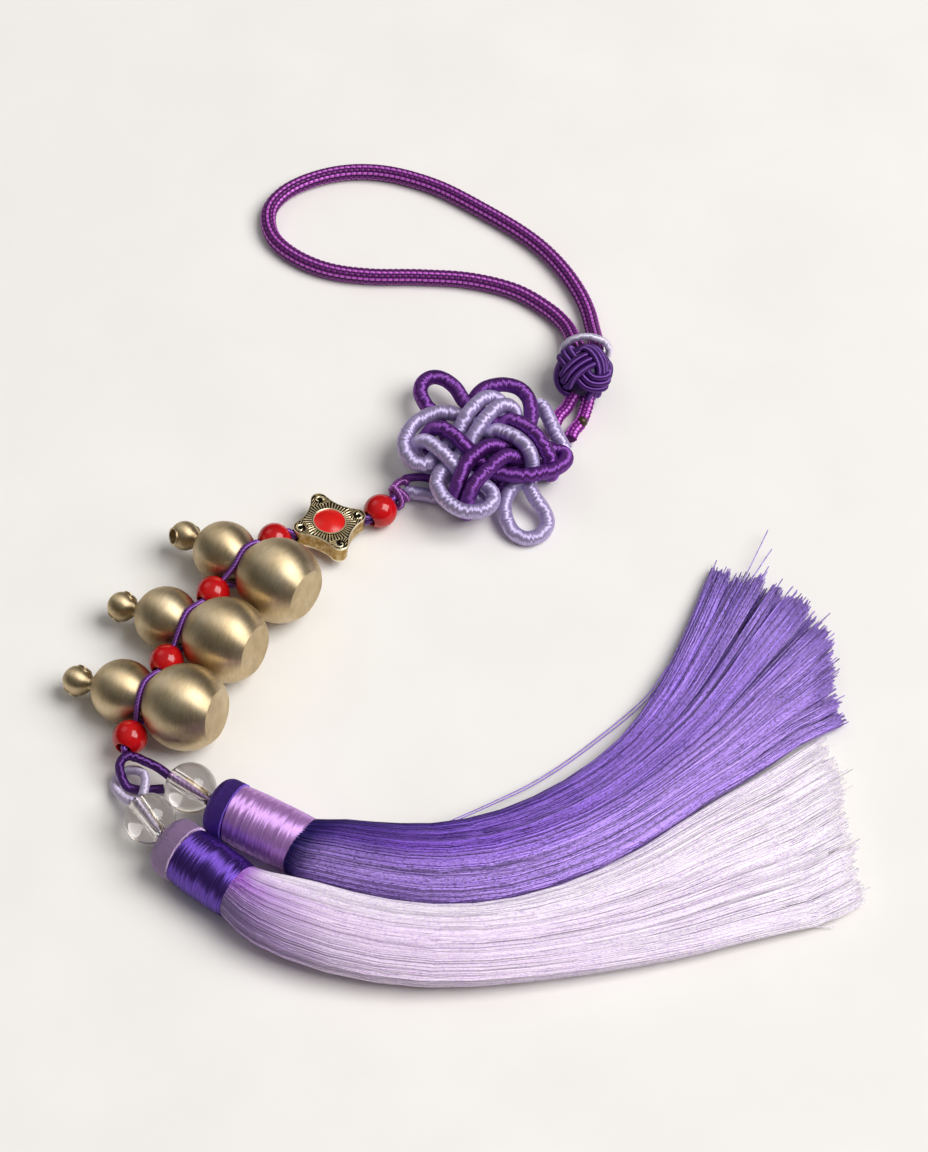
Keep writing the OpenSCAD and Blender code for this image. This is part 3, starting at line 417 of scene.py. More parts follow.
class Paint:
    """A material and short ways to join up its nodes."""

    def __init__(self, name, finish):
        self.material = bpy.data.materials.new(name)
        self.material.use_nodes = True
        self.tree = self.material.node_tree
        self.shader = self.tree.nodes["Principled BSDF"]
        self.fill(finish)

    def fill(self, finish):
        """Gives the shader its values."""
        for key, value in finish.items():
            self.feed(self.shader.inputs[key], value)

    def done(self, base, rough, **others):
        """The material, once its shader has all that it reads."""
        self.fill({"Base Color": base, "Roughness": rough, **others})
        return self.material

    def feed(self, socket, value):
        """Gives an input a value, or the output of another node."""
        if isinstance(value, bpy.types.NodeSocket):
            self.tree.links.new(value, socket)
        else:
            socket.default_value = value

    def node(self, kind, inputs, **settings):
        made = self.tree.nodes.new("ShaderNode" + kind)
        for key, value in settings.items():
            setattr(made, key, value)
        for key, value in inputs.items():
            self.feed(made.inputs[key], value)
        return made

    def value(self, name, output="Fac"):
        """A named value of the mesh."""
        return self.node("Attribute", {}, attribute_name=name).outputs[output]

    def lead(self):
        """The direction across which the threads lie."""
        return self.value("lead", "Vector")

    def place(self):
        """The place on the object, in metres."""
        return self.node("TexCoord", {}).outputs["Object"]

    def maths(self, operation, a, b=0.0, c=0.0, clamp=False):
        return self.node("Math", {0: a, 1: b, 2: c}, operation=operation, use_clamp=clamp).outputs[0]

    def spread(self, value, low, high):
        """A value from 0 to 1 made to run from low to high."""
        return self.maths("MULTIPLY_ADD", value, high - low, low)

    def vector(self, operation, a, b=(0, 0, 0)):
        made = self.node("VectorMath", {0: a}, operation=operation)
        self.feed(made.inputs["Scale" if operation == "SCALE" else 1], b)
        return made.outputs["Value" if operation == "DOT_PRODUCT" else "Vector"]

    def noise(self, size_mm, detail=2.0, vector=None):
        """Noise with features of about a size in millimetres."""
        inputs = {"Scale": 1000 / size_mm, "Detail": detail, "Vector": vector or self.place()}
        return self.node("TexNoise", inputs).outputs["Fac"]

    def ramp(self, value, *stops):
        """Colours or greys at places from 0 to 1."""
        made = self.node("ValToRGB", {"Fac": value})
        ramp = made.color_ramp
        while len(ramp.elements) < len(stops):
            ramp.elements.new(1.0)
        for element, (at, shade) in zip(ramp.elements, stops):
            element.position = at
            element.color = colour(shade) if isinstance(shade, str) else (shade, shade, shade, 1.0)
        return made.outputs["Color"]

    def mix(self, share, a, b, blend="MIX"):
        """Colour a turned into b, which may be text, by a share."""
        b = colour(b) if isinstance(b, str) else b
        return self.node("Mix", {0: share, 6: a, 7: b}, data_type="RGBA", blend_type=blend).outputs[2]

    def times(self, a, b):
        """One colour darkened by another."""
        return self.mix(1.0, a, b, "MULTIPLY")

    def bump(self, height, depth_mm, normal=None):
        """Normals of a height from 0 to 1 that stands for a depth in millimetres."""
        inputs = {"Height": height, "Distance": depth_mm * MM}
        if normal is not None:
            inputs["Normal"] = normal
        return self.node("Bump", inputs).outputs["Normal"]

    def thread_place(self, spread_mm):
        """The place on the object, moved apart for each thread so that neighbours differ."""
        apart = self.node("CombineXYZ", {0: self.maths("MULTIPLY", self.value("tone"), spread_mm * MM)})
        return self.vector("ADD", self.place(), apart.outputs[0])


def thread_paint(name, deep, body, light, metal=0.85, rough=0.53, jag=0.22, spread=40, stretch=1.0):
    """Shiny thread laid side by side, with painted shade between the threads and slightly lighter crests,
    and a highlight across them that jags from each thread to the next. Spread is how far apart neighbours
    take their noise, and stretch is how far the highlight runs along the cord. The value along is 1 where a
    cord's end is melted."""
    finish = {"Metallic": metal, "Specular IOR Level": 1.0, "IOR": THREAD_IOR, "Anisotropic": stretch}
    paint = Paint(name, finish)
    # The crest ramp paints shade and light: deep at crest 0, the groove between threads or plies, is painted
    # shade, and light at crest 1 gives slightly lighter tops
    crest = paint.ramp(paint.value("crest"), (0.0, deep), (0.5, body), (1.0, light))
    apart = paint.thread_place(spread)
    base = paint.times(crest, paint.ramp(paint.noise(1.4, 3, apart), (0.3, 0.8), (0.7, 1.0)))
    base = paint.mix(paint.value("along"), base, SINGED)
    rough = paint.spread(paint.noise(0.5, 2, apart), rough - THREAD_ROUGH, rough + THREAD_ROUGH)
    lead = paint.lead()
    normal = paint.node("NewGeometry", {}).outputs["Normal"]
    sway = paint.spread(paint.noise(THREAD_RUN, 1, apart), -THREAD_SWAY * jag, THREAD_SWAY * jag)
    sway = paint.maths("MULTIPLY_ADD", paint.value("tone"), jag, sway)
    leaning = paint.vector("SCALE", paint.vector("CROSS_PRODUCT", normal, lead), sway)
    normal = paint.vector("NORMALIZE", paint.vector("ADD", normal, leaning))
    return paint.done(base, rough, Normal=normal, Tangent=lead)


def silk_paint(name, root, middle, tip, deep, edge, painted_highlight, shades, metal):
    """Loose silky threads that change colour along their length, the darker root partly painted shade near
    the collar, to edge, painted shade on the skirt's darker side, where crest is 0, and to
    painted_highlight, a painted highlight on its lit side, where it is 1, each one lighter or darker, as
    shades say, and finely twisted."""
    paint = Paint(name, {"Metallic": metal, "Specular IOR Level": 0.8, "Anisotropic": 0.6})
    along = paint.maths("ADD", paint.spread(paint.noise(9), -0.12, 0.12), paint.value("along"), clamp=True)
    # The darker root is partly the silk's colour and partly painted shade near the collar
    base = paint.ramp(along, (0.0, root), (0.1, root), (0.34, middle), (1.0, tip))
    # edge is painted shade on the skirt's darker side, painted_highlight a painted highlight on its lit side
    base = paint.mix(paint.ramp(paint.value("crest"), (0.0, 0.85), (0.48, 0.0)), base, edge)
    base = paint.mix(paint.ramp(paint.value("crest"), (0.52, 0.0), (1.0, 0.85)), base, painted_highlight)
    # Random tones shade each thread; the core at tone 0 takes the first, darkest, as painted shade
    base = paint.times(base, paint.ramp(paint.value("tone"), *zip((0.0, 0.12, 0.45, 1.0), shades)))
    apart = paint.thread_place(60)
    twist = paint.noise(0.5, 1, apart)
    base = paint.mix(paint.ramp(twist, (0.34, 0.6), (0.5, 0.0)), base, deep)
    rough = paint.spread(paint.noise(3, 2, apart), *SILK_ROUGH)
    return paint.done(base, rough, Normal=paint.bump(twist, 0.06), Tangent=paint.lead())


def braid_paint(name, dark, bright):
    """Braided yarn in two colours, with painted shade in the gaps between grains and crests lighter as a
    painted highlight. Each of the two colours has its gap, its body and its crest.
    """
    paint = Paint(name, {"Metallic": 0.3, "Specular IOR Level": 0.6})
    crest = paint.value("crest")
    shades = [paint.ramp(crest, (0.0, a), (0.45, b), (1.0, c)) for a, b, c in (dark, bright)]
    fibre = paint.noise(0.16)
    base = paint.times(paint.mix(paint.value("tone"), *shades), paint.ramp(fibre, (0.3, 0.72), (0.65, 1.0)))
    base = paint.mix(paint.value("along"), base, SINGED)
    rough = paint.ramp(crest, (0.1, 0.95), (0.7, 0.36))
    return paint.done(base, rough, Normal=paint.bump(fibre, 0.03))


def brass_paint(name, at, axis):
    """Pale satin brass brushed round an axis, a little worn and pitted."""
    paint = Paint(name, {"Metallic": 1.0, "Anisotropic": 0.8})
    place = paint.vector("SUBTRACT", paint.place(), tuple(to_frame(at)))
    step = paint.vector("DOT_PRODUCT", place, tuple(axis))
    on_axis = paint.vector("SCALE", tuple(axis), step)
    lines = paint.noise(0.13, 3, paint.vector("ADD", paint.vector("SCALE", place, BRUSHED), on_axis))
    broad = paint.noise(5, 3)
    base = paint.ramp(broad, (0.3, "#c4ae88"), (0.5, "#d2bd98"), (0.72, "#dfcdac"))
    base = paint.times(base, paint.ramp(lines, (0.36, 0.84), (0.62, 1.0)))
    pits = paint.ramp(paint.noise(0.6, 1), (0.17, 0.5), (0.21, 1.0))
    normal = paint.bump(broad, 0.03, paint.bump(lines, 0.01))
    lead = paint.vector("ADD", paint.lead(), FOOT_LEAD)
    rough = paint.spread(lines, 0.4, 0.54)
    return paint.done(paint.times(base, pits), rough, Normal=normal, Tangent=lead)


def antique_gold_paint():
    """Cast gold, bright where it is raised and black in the recesses."""
    paint = Paint("antique_gold", {"Metallic": 0.8})
    worn = paint.maths("ADD", paint.value("crest"), paint.spread(paint.noise(0.8, 3), -0.14, 0.14))
    base = paint.ramp(worn, (0.36, "#0c0803"), (0.5, "#4c3a18"), (0.62, "#a98640"), (0.82, "#fff3cf"))
    rough = paint.ramp(worn, (0.3, 0.75), (0.6, 0.42), (1.0, 0.26))
    return paint.done(base, rough, Normal=paint.bump(paint.noise(0.5, 3), 0.04))


def glaze_paint(name, body, deep, rough):
    """Glossy opaque red, with faint clouds and the slight waves of a pressed bead."""
    paint = Paint(name, {"Specular IOR Level": 0.5})
    base = paint.ramp(paint.noise(3), (0.3, deep), (0.65, body))
    rough = paint.spread(paint.noise(1.5), rough, rough + 0.08)
    return paint.done(base, rough, Normal=paint.bump(paint.noise(2.5, 1), 0.03))


def glass_paint():
    """Clear glass with faint waves."""
    paint = Paint("clear_glass", {"Transmission Weight": 1.0, "IOR": 1.5})
    rough = paint.spread(paint.noise(2, 1), 0.0, 0.03)
    return paint.done((0.93, 0.9, 0.88, 1.0), rough, Normal=paint.bump(paint.noise(3, 1), 0.02))


def floor_paint():
    """Matt off-white card with a barely visible grain."""
    paint = Paint("card", {"Specular IOR Level": 0.2})
    return paint.done(paint.ramp(paint.noise(25, 4), (0.3, "#f2efea"), (0.7, "#f6f4f0")), 0.9)


# Camera, floor and light


def make_camera():
    """The camera's focal length goes with the picture's height, its longer side."""
    camera = bpy.data.cameras.new("camera")
    camera.lens = FOCAL_PIXELS / PICTURE_H * camera.sensor_width
    obj = bpy.data.objects.new("camera", camera)
    obj.location = CAMERA_AT
    obj.rotation_euler = (CAMERA_TILT, 0, 0)
    bpy.context.scene.collection.objects.link(obj)
    bpy.context.scene.camera = obj


def make_floor(half=1.5):
    """A square of card below the charm."""
    mesh = bpy.data.meshes.new("floor")
    corners = [(-half, -half, 0), (half, -half, 0), (half, half, 0), (-half, half, 0)]
    mesh.from_pydata(corners, [], [(0, 1, 2, 3)])
    mesh.materials.append(floor_paint())
    floor = bpy.data.objects.new("floor", mesh)
    bpy.context.scene.collection.objects.link(floor)


def make_lamp(name, towards, size, power, tint, distance=3.0):
    """A square soft light that faces the charm from a direction."""
    lamp = bpy.data.lights.new(name, "AREA")
    lamp.size = size
    lamp.energy = power
    lamp.color = tint
    obj = bpy.data.objects.new(name, lamp)
    obj.location = Vector(towards).normalized() * distance
    obj.rotation_euler = Vector(towards).to_track_quat("Z", "Y").to_euler()
    bpy.context.scene.collection.objects.link(obj)


def make_sky():
    """Soft light from all round, paler overhead."""
    world = bpy.data.worlds.new("studio")
    bpy.context.scene.world = world
    world.use_nodes = True
    nodes, links = world.node_tree.nodes, world.node_tree.links
    height = nodes.new("ShaderNodeSeparateXYZ")
    links.new(nodes.new("ShaderNodeTexCoord").outputs["Generated"], height.inputs[0])
    ramp = nodes.new("ShaderNodeValToRGB")
    links.new(height.outputs["Z"], ramp.inputs["Fac"])
    for at, light in ((0.5, 0.1), (0.85, 0.27)):
        ramp.color_ramp.elements.new(at).color = (light, light, light, 1)
    ramp.color_ramp.elements[0].color = (0.05, 0.049, 0.048, 1)
    ramp.color_ramp.elements[3].color = (0.36, 0.36, 0.365, 1)
    links.new(ramp.outputs["Color"], nodes["Background"].inputs["Color"])


make_camera()
make_floor()
make_lamp("key", (0.6, -0.08, 0.79), size=2.2, power=100, tint=(1.0, 0.99, 0.98))
make_lamp("fill", (-0.55, 0.5, 0.8), size=1.6, power=6, tint=(0.96, 0.98, 1.0))
make_sky()

# The hanging loop and the stems, braided cords

LOOP_CORD_D = 3.0
LOOP_COLUMNS = 12
LOOP_PITCH = 1.09
STEM_D = 2.5
STEM_COLUMNS = 8
STEM_PITCH = 0.86
STEM_END_AT = (21.3, 36.2, 1.9)
STEM_END_R = 1.0
RINGS_PER_GRAIN = 6
SIDES_PER_COLUMN = 4


def braided(route, diameter, columns, pitch, depth):
    """The surface of a round braid: columns of grains, every other one bright and half a grain ahead."""
    path = walk(route, pitch / RINGS_PER_GRAIN)
    v = np.arange(len(path))[:, None] / RINGS_PER_GRAIN
    sides = SIDES_PER_COLUMN * columns
    c = np.arange(sides)[None] / SIDES_PER_COLUMN
    column = np.round(c)
    off_middle = c - column
    bright = column % 2
    off_grain = (v - bright / 2 + 0.5) % 1 - 0.5
    half_width = 0.48 + 0.1 * bright
    # crest, the grain's height, also paints shade into the gaps and light onto the tops
    crest = np.sqrt(np.clip(1 - (off_middle / half_width) ** 2 - (off_grain / 0.52) ** 2, 0, 1))
    return surface(tube(path, diameter / 2 - depth * (1 - crest), sides), crest=crest, tone=bright + 0 * v)


def nub(at, radius, melted):
    """The round end of a cord, melted shut (1) or not (0)."""
    return surface(ball(at, radius), crest=0.7, along=melted)


# Each triple is gap, body and crest: painted shade in the gap, a painted highlight on the crest
loop_paint = braid_paint("loop_braid", ("#2e0236", "#58085f", "#821c8a"), ("#4a0652", "#b440be", "#da76e0"))
loop_braid = braided(LOOP_ROUTE, LOOP_CORD_D, LOOP_COLUMNS, LOOP_PITCH, depth=0.2)
loop_piece = make_piece("hanging_loop_braid", [loop_braid], loop_paint, ["hanging_loop"])

stem_routes = (STEM_ROUTE_A, STEM_ROUTE_B)
stems = [braided(route, STEM_D, STEM_COLUMNS, STEM_PITCH, depth=0.28) for route in stem_routes]
stems.append(nub(STEM_END_AT, STEM_END_R, 1.0))
stem_paint = braid_paint("stem_braid", ("#4a0452", "#84148a", "#a42eac"), ("#6a0a72", "#d85ae2", "#f694ff"))
make_piece("stem_braids", stems, stem_paint, ["stem_cords"])

# Cords wound with thread

# Height of the four rings of a thread, from its crest to the groove beside it and back
THREAD_PROFILE = np.array([1.0, 0.72, 0.0, 0.72])
RINGS_PER_THREAD = len(THREAD_PROFILE)
WOUND_SIDES = 16
THREAD_PITCH = 0.34
KNOT_CORD_D = 2.7
TAIL_CORD_D = 2.5
THIN_TAIL_D = 1.5
# How much smaller than its cord the round end of the tail is
TAIL_END_INSET = 0.12


def wound(path_of, pitch, diameter, sides, depth, lean, seed, uneven=0.3):
    """Rings, crests and tones, for surface(), of a cord wound with thread, one ridge a turn, each leaning a
    little its own way. path_of gives the path for a step, and diameter may be a function of the share of the
    length."""
    draws = np.random.default_rng(seed)
    path = path_of(pitch / RINGS_PER_THREAD)
    count = len(path)
    turn = (np.arange(count) + 1) // RINGS_PER_THREAD
    turns = turn[-1] + 1
    crest = THREAD_PROFILE[np.arange(count) % RINGS_PER_THREAD][:, None]
    tone = draws.uniform(-1, 1, turns)[turn][:, None]
    tilt, towards, swell = (draws.uniform(-1, 1, turns)[turn][:, None] for _ in range(3))
    width = diameter(np.linspace(0, 1, count)) if callable(diameter) else np.full(count, float(diameter))
    half = width[:, None] / 2
    off_square = math.tan(math.radians(lean)) + 0.1 * uneven * tilt
    shift = half * off_square * np.cos(circle(sides)[None] + 0.8 * towards)
    radius = half - depth * (1 - crest) + 0.12 * uneven * depth * swell
    return {"rings": tube(path, radius, sides, shift), "crest": crest, "tone": tone}


def along_route(route):
    """The path of a route for a step, as wound() takes it."""
    return lambda step: walk(route, step)


def wound_cords(name, strands, paint, node, pitch=THREAD_PITCH, depth=0.01, lean=6, ends=()):
    """Several wound cords as one piece. A strand is a route, its width and its seed."""
    cords = [
        surface(**wound(along_route(route), pitch, width, WOUND_SIDES, depth, lean, seed))
        for route, width, seed in strands
    ]
    make_piece(name, [*cords, *ends], paint, [node])


def knot_strands(routes, seed):
    """Strands of the main knot from routes in its own grid."""
    return [(from_knot(route), KNOT_CORD_D, seed + i) for i, route in enumerate(routes)]


purple_paint = thread_paint("purple_thread", "#64268c", "#843aa8", "#9848bc", 0.85, 0.56, stretch=0.92)
lavender_paint = thread_paint("lavender_thread", "#b8a6d8", "#cab8ea", "#d6c6f4", 0.6, 0.58, stretch=0.86)
purple_strands = [*knot_strands((PURPLE_1, PURPLE_2, PURPLE_3), 11), (TAIL_PURPLE, THIN_TAIL_D, 15)]
wound_cords("knot_purple_cords", purple_strands, purple_paint, "knot_purple")
lavender_strands = knot_strands((LAVENDER_1, LAVENDER_2, LAVENDER_EAR, LAVENDER_SIDE), 21)
lavender_strands.append((TAIL_LAVENDER, TAIL_CORD_D, 26))
tail_end = nub(TAIL_LAVENDER[0], TAIL_CORD_D / 2 - TAIL_END_INSET, 0.0)
wound_cords(
    "knot_lavender_cords",
    lavender_strands,
    lavender_paint,
    "knot_lavender",
    ends=[tail_end],
)

# The ring above the button knot

RING_AT = np.array([22.1, 49.8, 5.2])
RING_R = 4.2
RING_CORD_D = 1.3


def ring_path(step):
    """The ring stands across the loop's cord. It has a whole number of threads."""
    a = circle(round(2 * math.pi * RING_R / step) // RINGS_PER_THREAD * RINGS_PER_THREAD)
    return RING_AT + RING_R * np.stack([np.cos(a), 0 * a, np.sin(a)], axis=1)


ring_cord = wound(ring_path, pitch=0.3, diameter=RING_CORD_D, sides=14, depth=0.035, lean=0, seed=31)
ring_paint = thread_paint("ring_thread", "#d0c4e4", "#e2d8f4", "#eae2fa", 0.4, 0.58, stretch=0.86)
make_piece("loop_ring_cord", [surface(joined=True, **ring_cord)], ring_paint, ["loop_ring"])

# The button knot: a band of three cords woven round a ball

BUTTON_D = 11.6
BUTTON_AT = np.array([21.5, 44.3, 5.9])
BUTTON_BAND_T = 1.5
BUTTON_TURNS = 3
BUTTON_SWINGS = 4
BUTTON_START = math.radians(81)
BUTTON_LATITUDE = math.radians(46)
BUTTON_WEAVE = 0.35
BUTTON_TILT = (98, 0, -12)
BUTTON_CORD_D = 1.22
BUTTON_SPACING = 1.16
# How much deeper than the middle cord the outer two lie
BUTTON_OUTER_DROP = 0.16
BUTTON_CORE_R = 4.3
BUTTON_STEPS = 320


def button_line(a):
    """The middle of the band at angles along it."""
    lat = BUTTON_LATITUDE * np.sin(BUTTON_SWINGS * a)
    over = BUTTON_WEAVE * (1 - np.sin(2 * BUTTON_SWINGS * a))
    r = BUTTON_D / 2 - BUTTON_BAND_T * (0.5 + over)
    lon = BUTTON_TURNS * a + BUTTON_START
    return r[:, None] * np.stack([np.cos(lat) * np.cos(lon), np.cos(lat) * np.sin(lon), np.sin(lat)], axis=1)


def button_cords():
    """Three cords side by side along the band, round a core in the darkest groove colour: painted shade
    inside the knot.
    """
    a = circle(BUTTON_STEPS)
    middle = button_line(a)
    side = unit(np.cross(button_line(a + 0.01) - button_line(a - 0.01), middle))
    cords = []
    for k in (-1, 0, 1):
        line = middle + side * k * BUTTON_SPACING - unit(middle) * BUTTON_OUTER_DROP * abs(k)
        path = placed(line, BUTTON_AT, BUTTON_TILT)
        rings = tube(path, BUTTON_CORD_D / 2, sides=14)
        cords.append(surface(rings, joined=True, crest=0.7, tone=k * 0.5))
    # crest 0 gives the core the deep colour, painted shade between the cords
    core = ball(BUTTON_AT, BUTTON_CORE_R, steps=16, sides=24, angles=(90, 0, 0))
    return [*cords, surface(core)]


button_paint = thread_paint("button_cord", "#240a48", "#5c1c88", "#7028a0", 0.8, 0.5, 0.05)
make_piece("button_knot_cords", button_cords(), button_paint, ["button_knot"])

# Beads

RED_BEAD_D = 6.0
RED_BEAD_HOLE_D = 2.7
# Each red bead's place and the heading of its hole
RED_BEADS = [
    ((-14.8, 15.5, 3), 42),
    ((-33.2, 7.8, 5), 34),
    ((-43.4, -4.6, 6.5), 54),
    ((-50.8, -18.8, 6.5), 66),
    ((-56.4, -33.2, 5), 70),
]
CLEAR_BEAD_D = 8.7
CLEAR_BEAD_HOLE_D = 1.9
CLEAR_BEADS = [((-52.25, -48.95, 4.5), -55), ((-45.75, -42.95, 4.5), -36)]
# How far round the hole, and how far into it, a bead's edge is rounded away
BEAD_MOUTH = 0.18
BEAD_MOUTH_DEPTH = 0.14


def bead(node, at, heading, diameter, hole, paint):
    """A drilled round bead whose hole has a rounded mouth."""
    r = diameter / 2
    first = math.asin((hole / 2 + BEAD_MOUTH) / r)
    outside = [(-r * math.cos(t), r * math.sin(t)) for t in np.linspace(first, math.pi - first, 33)]
    reach = r * math.cos(first) - BEAD_MOUTH_DEPTH
    inside = [(z, hole / 2) for z in np.linspace(reach, -reach, 8)]
    rings = placed(lathe(outside + inside, sides=48), at, (0, 90, heading))
    make_piece(f"{node}_round", [surface(rings, joined=True)], paint, [node], sharp=50)


red_paint = glaze_paint("red_glaze", "#c90d12", "#b0090e", 0.1)
for i, (at, heading) in enumerate(RED_BEADS, 1):
    bead(f"red_bead_{i}", at, heading, RED_BEAD_D, RED_BEAD_HOLE_D, red_paint)
glass = glass_paint()
for i, (at, heading) in enumerate(CLEAR_BEADS, 1):
    bead(f"clear_bead_{i}", at, heading, CLEAR_BEAD_D, CLEAR_BEAD_HOLE_D, glass)

# The gourds

GOURD_BIG_D = 14.9
GOURD_SMALL_D = 11.0
GOURD_BALL_D = 5.2
GOURD_WAIST_D = 6.4
GOURD_BASE_D = 9.0
GOURD_STALK_D = 2.4
GOURD_WAIST_STEP = 7.1
GOURD_BULB_STEP = 12.0
GOURD_BALL_STEP = 20.2
GOURD_LIP = 0.16
GOURD_DRILL = 8
# Edges of a gourd that turn by more degrees than this are sharp
GOURD_SHARP = 28
# Steps on the axis between which the stalk bends aside
GOURD_BEND = (16.6, 18.8)
# Middle of the big bulb, heading towards the stalk, and slope down to it
GOURDS = [((-32, -2.6), 145, 6), ((-40.8, -15), 152, 7.5), ((-47, -28.7), 158, 9)]
# How far each stalk's ball sits aside and ahead, the width of the hole through it and the hole's two turns
GOURD_TIPS = [(0.63, 0.05, 2.6, 61, 119), (0.87, 0.25, 2.2, 68, 56), (0.19, 0.46, 2.2, 68, 56)]
# Higher makes the hollows between the bulbs tighter
GOURD_BLEND = 6


def arc_steps(middle, radius, first, last, count):
    """Steps along the axis at even angles of a ball."""
    return middle - radius * np.cos(np.radians(np.linspace(first, last, count)))


def gourd_profile():
    """The gourd's outline: balls, waist and stalk run together."""
    big, small, tip = GOURD_BIG_D / 2, GOURD_SMALL_D / 2, GOURD_BALL_D / 2
    base_turn = math.degrees(math.asin(GOURD_BASE_D / GOURD_BIG_D))
    z = np.concatenate([
        arc_steps(0, big, base_turn, 150, 34),
        arc_steps(GOURD_BULB_STEP, small, 28, 165, 30),
        arc_steps(GOURD_BALL_STEP, tip, 12, 179, 26),
    ])
    z = np.unique(np.round(z, 4))
    balls = [
        np.sqrt(np.clip(radius**2 - (z - middle) ** 2, 0, None))
        for middle, radius in ((0, big), (GOURD_BULB_STEP, small), (GOURD_BALL_STEP, tip))
    ]
    waist = np.where((z > 0) & (z < GOURD_BULB_STEP), GOURD_WAIST_D / 2, 0)
    stalk = np.where((z > GOURD_BULB_STEP) & (z < GOURD_BALL_STEP), GOURD_STALK_D / 2, 0)
    r = sum(v**GOURD_BLEND for v in (*balls, waist, stalk)) ** (1 / GOURD_BLEND)
    return list(zip(z, np.maximum(r, 0.02)))


def bent(points, aside, ahead):
    """Points of a gourd in its own axes, with the ball of the stalk moved a little."""
    share = np.clip((points[..., 2] - GOURD_BEND[0]) / (GOURD_BEND[1] - GOURD_BEND[0]), 0, 1)
    share = share * share * (3 - 2 * share)
    moved = points.copy()
    moved[..., 1] += aside * share
    moved[..., 2] += ahead * share
    return moved


def gourd(i, place, heading, slope, tip):
    """One gourd, with the hole cut through the ball of its stalk and a thin lip at both mouths."""
    aside, ahead, hole, swing, spin = tip
    at = np.array([*place, GOURD_BIG_D / 2])
    angles = (0, 90 + slope, heading)
    axis = placed([[0, 0, 1]], (0, 0, 0), angles)[0]
    paint = brass_paint(f"satin_brass_{i}", at, axis)
    body = surface(placed(bent(lathe(gourd_profile(), sides=96), aside, ahead), at, angles))
    piece = make_piece(f"gourd_{i}_turned", [body], paint, [f"gourd_{i}"], GOURD_SHARP)

    def in_ball(points):
        moved = placed(points, (0, aside, GOURD_BALL_STEP + ahead), (0, swing, spin))
        return placed(moved, at, angles)

    drill = lathe([(-GOURD_DRILL, hole / 2), (GOURD_DRILL, hole / 2)], sides=32)
    cut(piece, in_ball(drill), GOURD_SHARP)
    mouth = math.sqrt((GOURD_BALL_D / 2) ** 2 - (hole / 2) ** 2)
    lips = []
    for side in (-1, 1):
        lip = [
            (side * mouth + GOURD_LIP * math.cos(t), hole / 2 + GOURD_LIP * (0.9 + math.sin(t)))
            for t in circle(8)
        ]
        lips.append(surface(in_ball(lathe(lip, sides=40)), joined=True))
    join(piece, lips)


for i, ((place, heading, slope), tip) in enumerate(zip(GOURDS, GOURD_TIPS), 1):
    gourd(i, place, heading, slope, tip)

# The spacer bead

SPACER_AT = (-23.8, 11.5, 3.6)
SPACER_TILT = (-3, 8, 21)
SPACER_L = 13.4
SPACER_W = 13.6
SPACER_T = 3.3
SPACER_LOBE_R = 1.5
SPACER_FLANK_R = 8.0
SPACER_HOLE_D = 2.4
ENAMEL_D = 5.4
ENAMEL_RIM = 0.3
ENAMEL_SEAT = 1.35
SPACER_RIDGES = 46
SPACER_STEPS = 8 * SPACER_RIDGES
SPACER_RELIEF = 0.32
SPACER_SHARP = 60


def spacer_reach(turn):
    """How far the spacer's outline is from its middle at angles, round lobes and hollow flanks."""
    lobes = np.array([SPACER_L / 2 - SPACER_LOBE_R, SPACER_W / 2 - SPACER_LOBE_R])
    far = math.sqrt((SPACER_FLANK_R + SPACER_LOBE_R) ** 2 - (np.linalg.norm(lobes) / 2) ** 2)
    flank = lobes / 2 + far * unit(lobes[::-1])
    way = np.abs(np.stack([np.cos(turn), np.sin(turn)], axis=-1))
    reach = np.zeros(len(turn))
    for k in (0, 1):
        lobe = np.zeros(2)
        lobe[k] = lobes[k]
        edge = lobe + SPACER_LOBE_R * unit(flank - lobe)
        in_lobe = way[:, k] / np.maximum(way[:, 1 - k], 1e-9) > edge[k] / edge[1 - k]
        on = way @ lobe
        found = on + np.sqrt(np.clip(on**2 - lobe @ lobe + SPACER_LOBE_R**2, 0, None))
        reach = np.where(in_lobe, found, reach)
    on = way @ flank
    hollow = on - np.sqrt(np.clip(on**2 - flank @ flank + SPACER_FLANK_R**2, 0, None))
    return np.where(reach > 0, reach, hollow)


def spacer_relief(x, y, edge):
    """Height of the cast relief from 0 to 1: rays round the enamel, barbs along each lobe and a curl at its
    end. The distance left to the outline is edge."""
    turn = np.arctan2(y, x)
    ahead, aside = np.maximum(np.abs(x), np.abs(y)), np.minimum(np.abs(x), np.abs(y))
    rays = np.cos(SPACER_RIDGES * turn)
    barbs = np.cos(2 * math.pi * (ahead + 0.85 * aside) / 0.5)
    height = 0.55 + 0.5 * np.where(ahead > 4.1 + 0.15 * aside, barbs, rays)
    side = np.where(np.abs(x) > np.abs(y), y * np.sign(x), -x * np.sign(y))
    tip, way = np.hypot(ahead - 5.4, side), np.arctan2(side, ahead - 5.4)
    curl = np.clip(1.5 - np.abs(tip - 0.6 + 0.08 * way) / 0.17, 0, 1)
    curl = np.where((way > -2.3) & (way < 1.9), curl, 0)
    curl = np.maximum(curl, np.clip(1.3 - np.hypot(ahead - 5.2, side - 0.28) / 0.2, 0, 1))
    height = np.where(tip < 0.86, curl, height)
    return np.where(edge < 0.2, 1.0, np.where(edge < 0.34, 0.1, height))


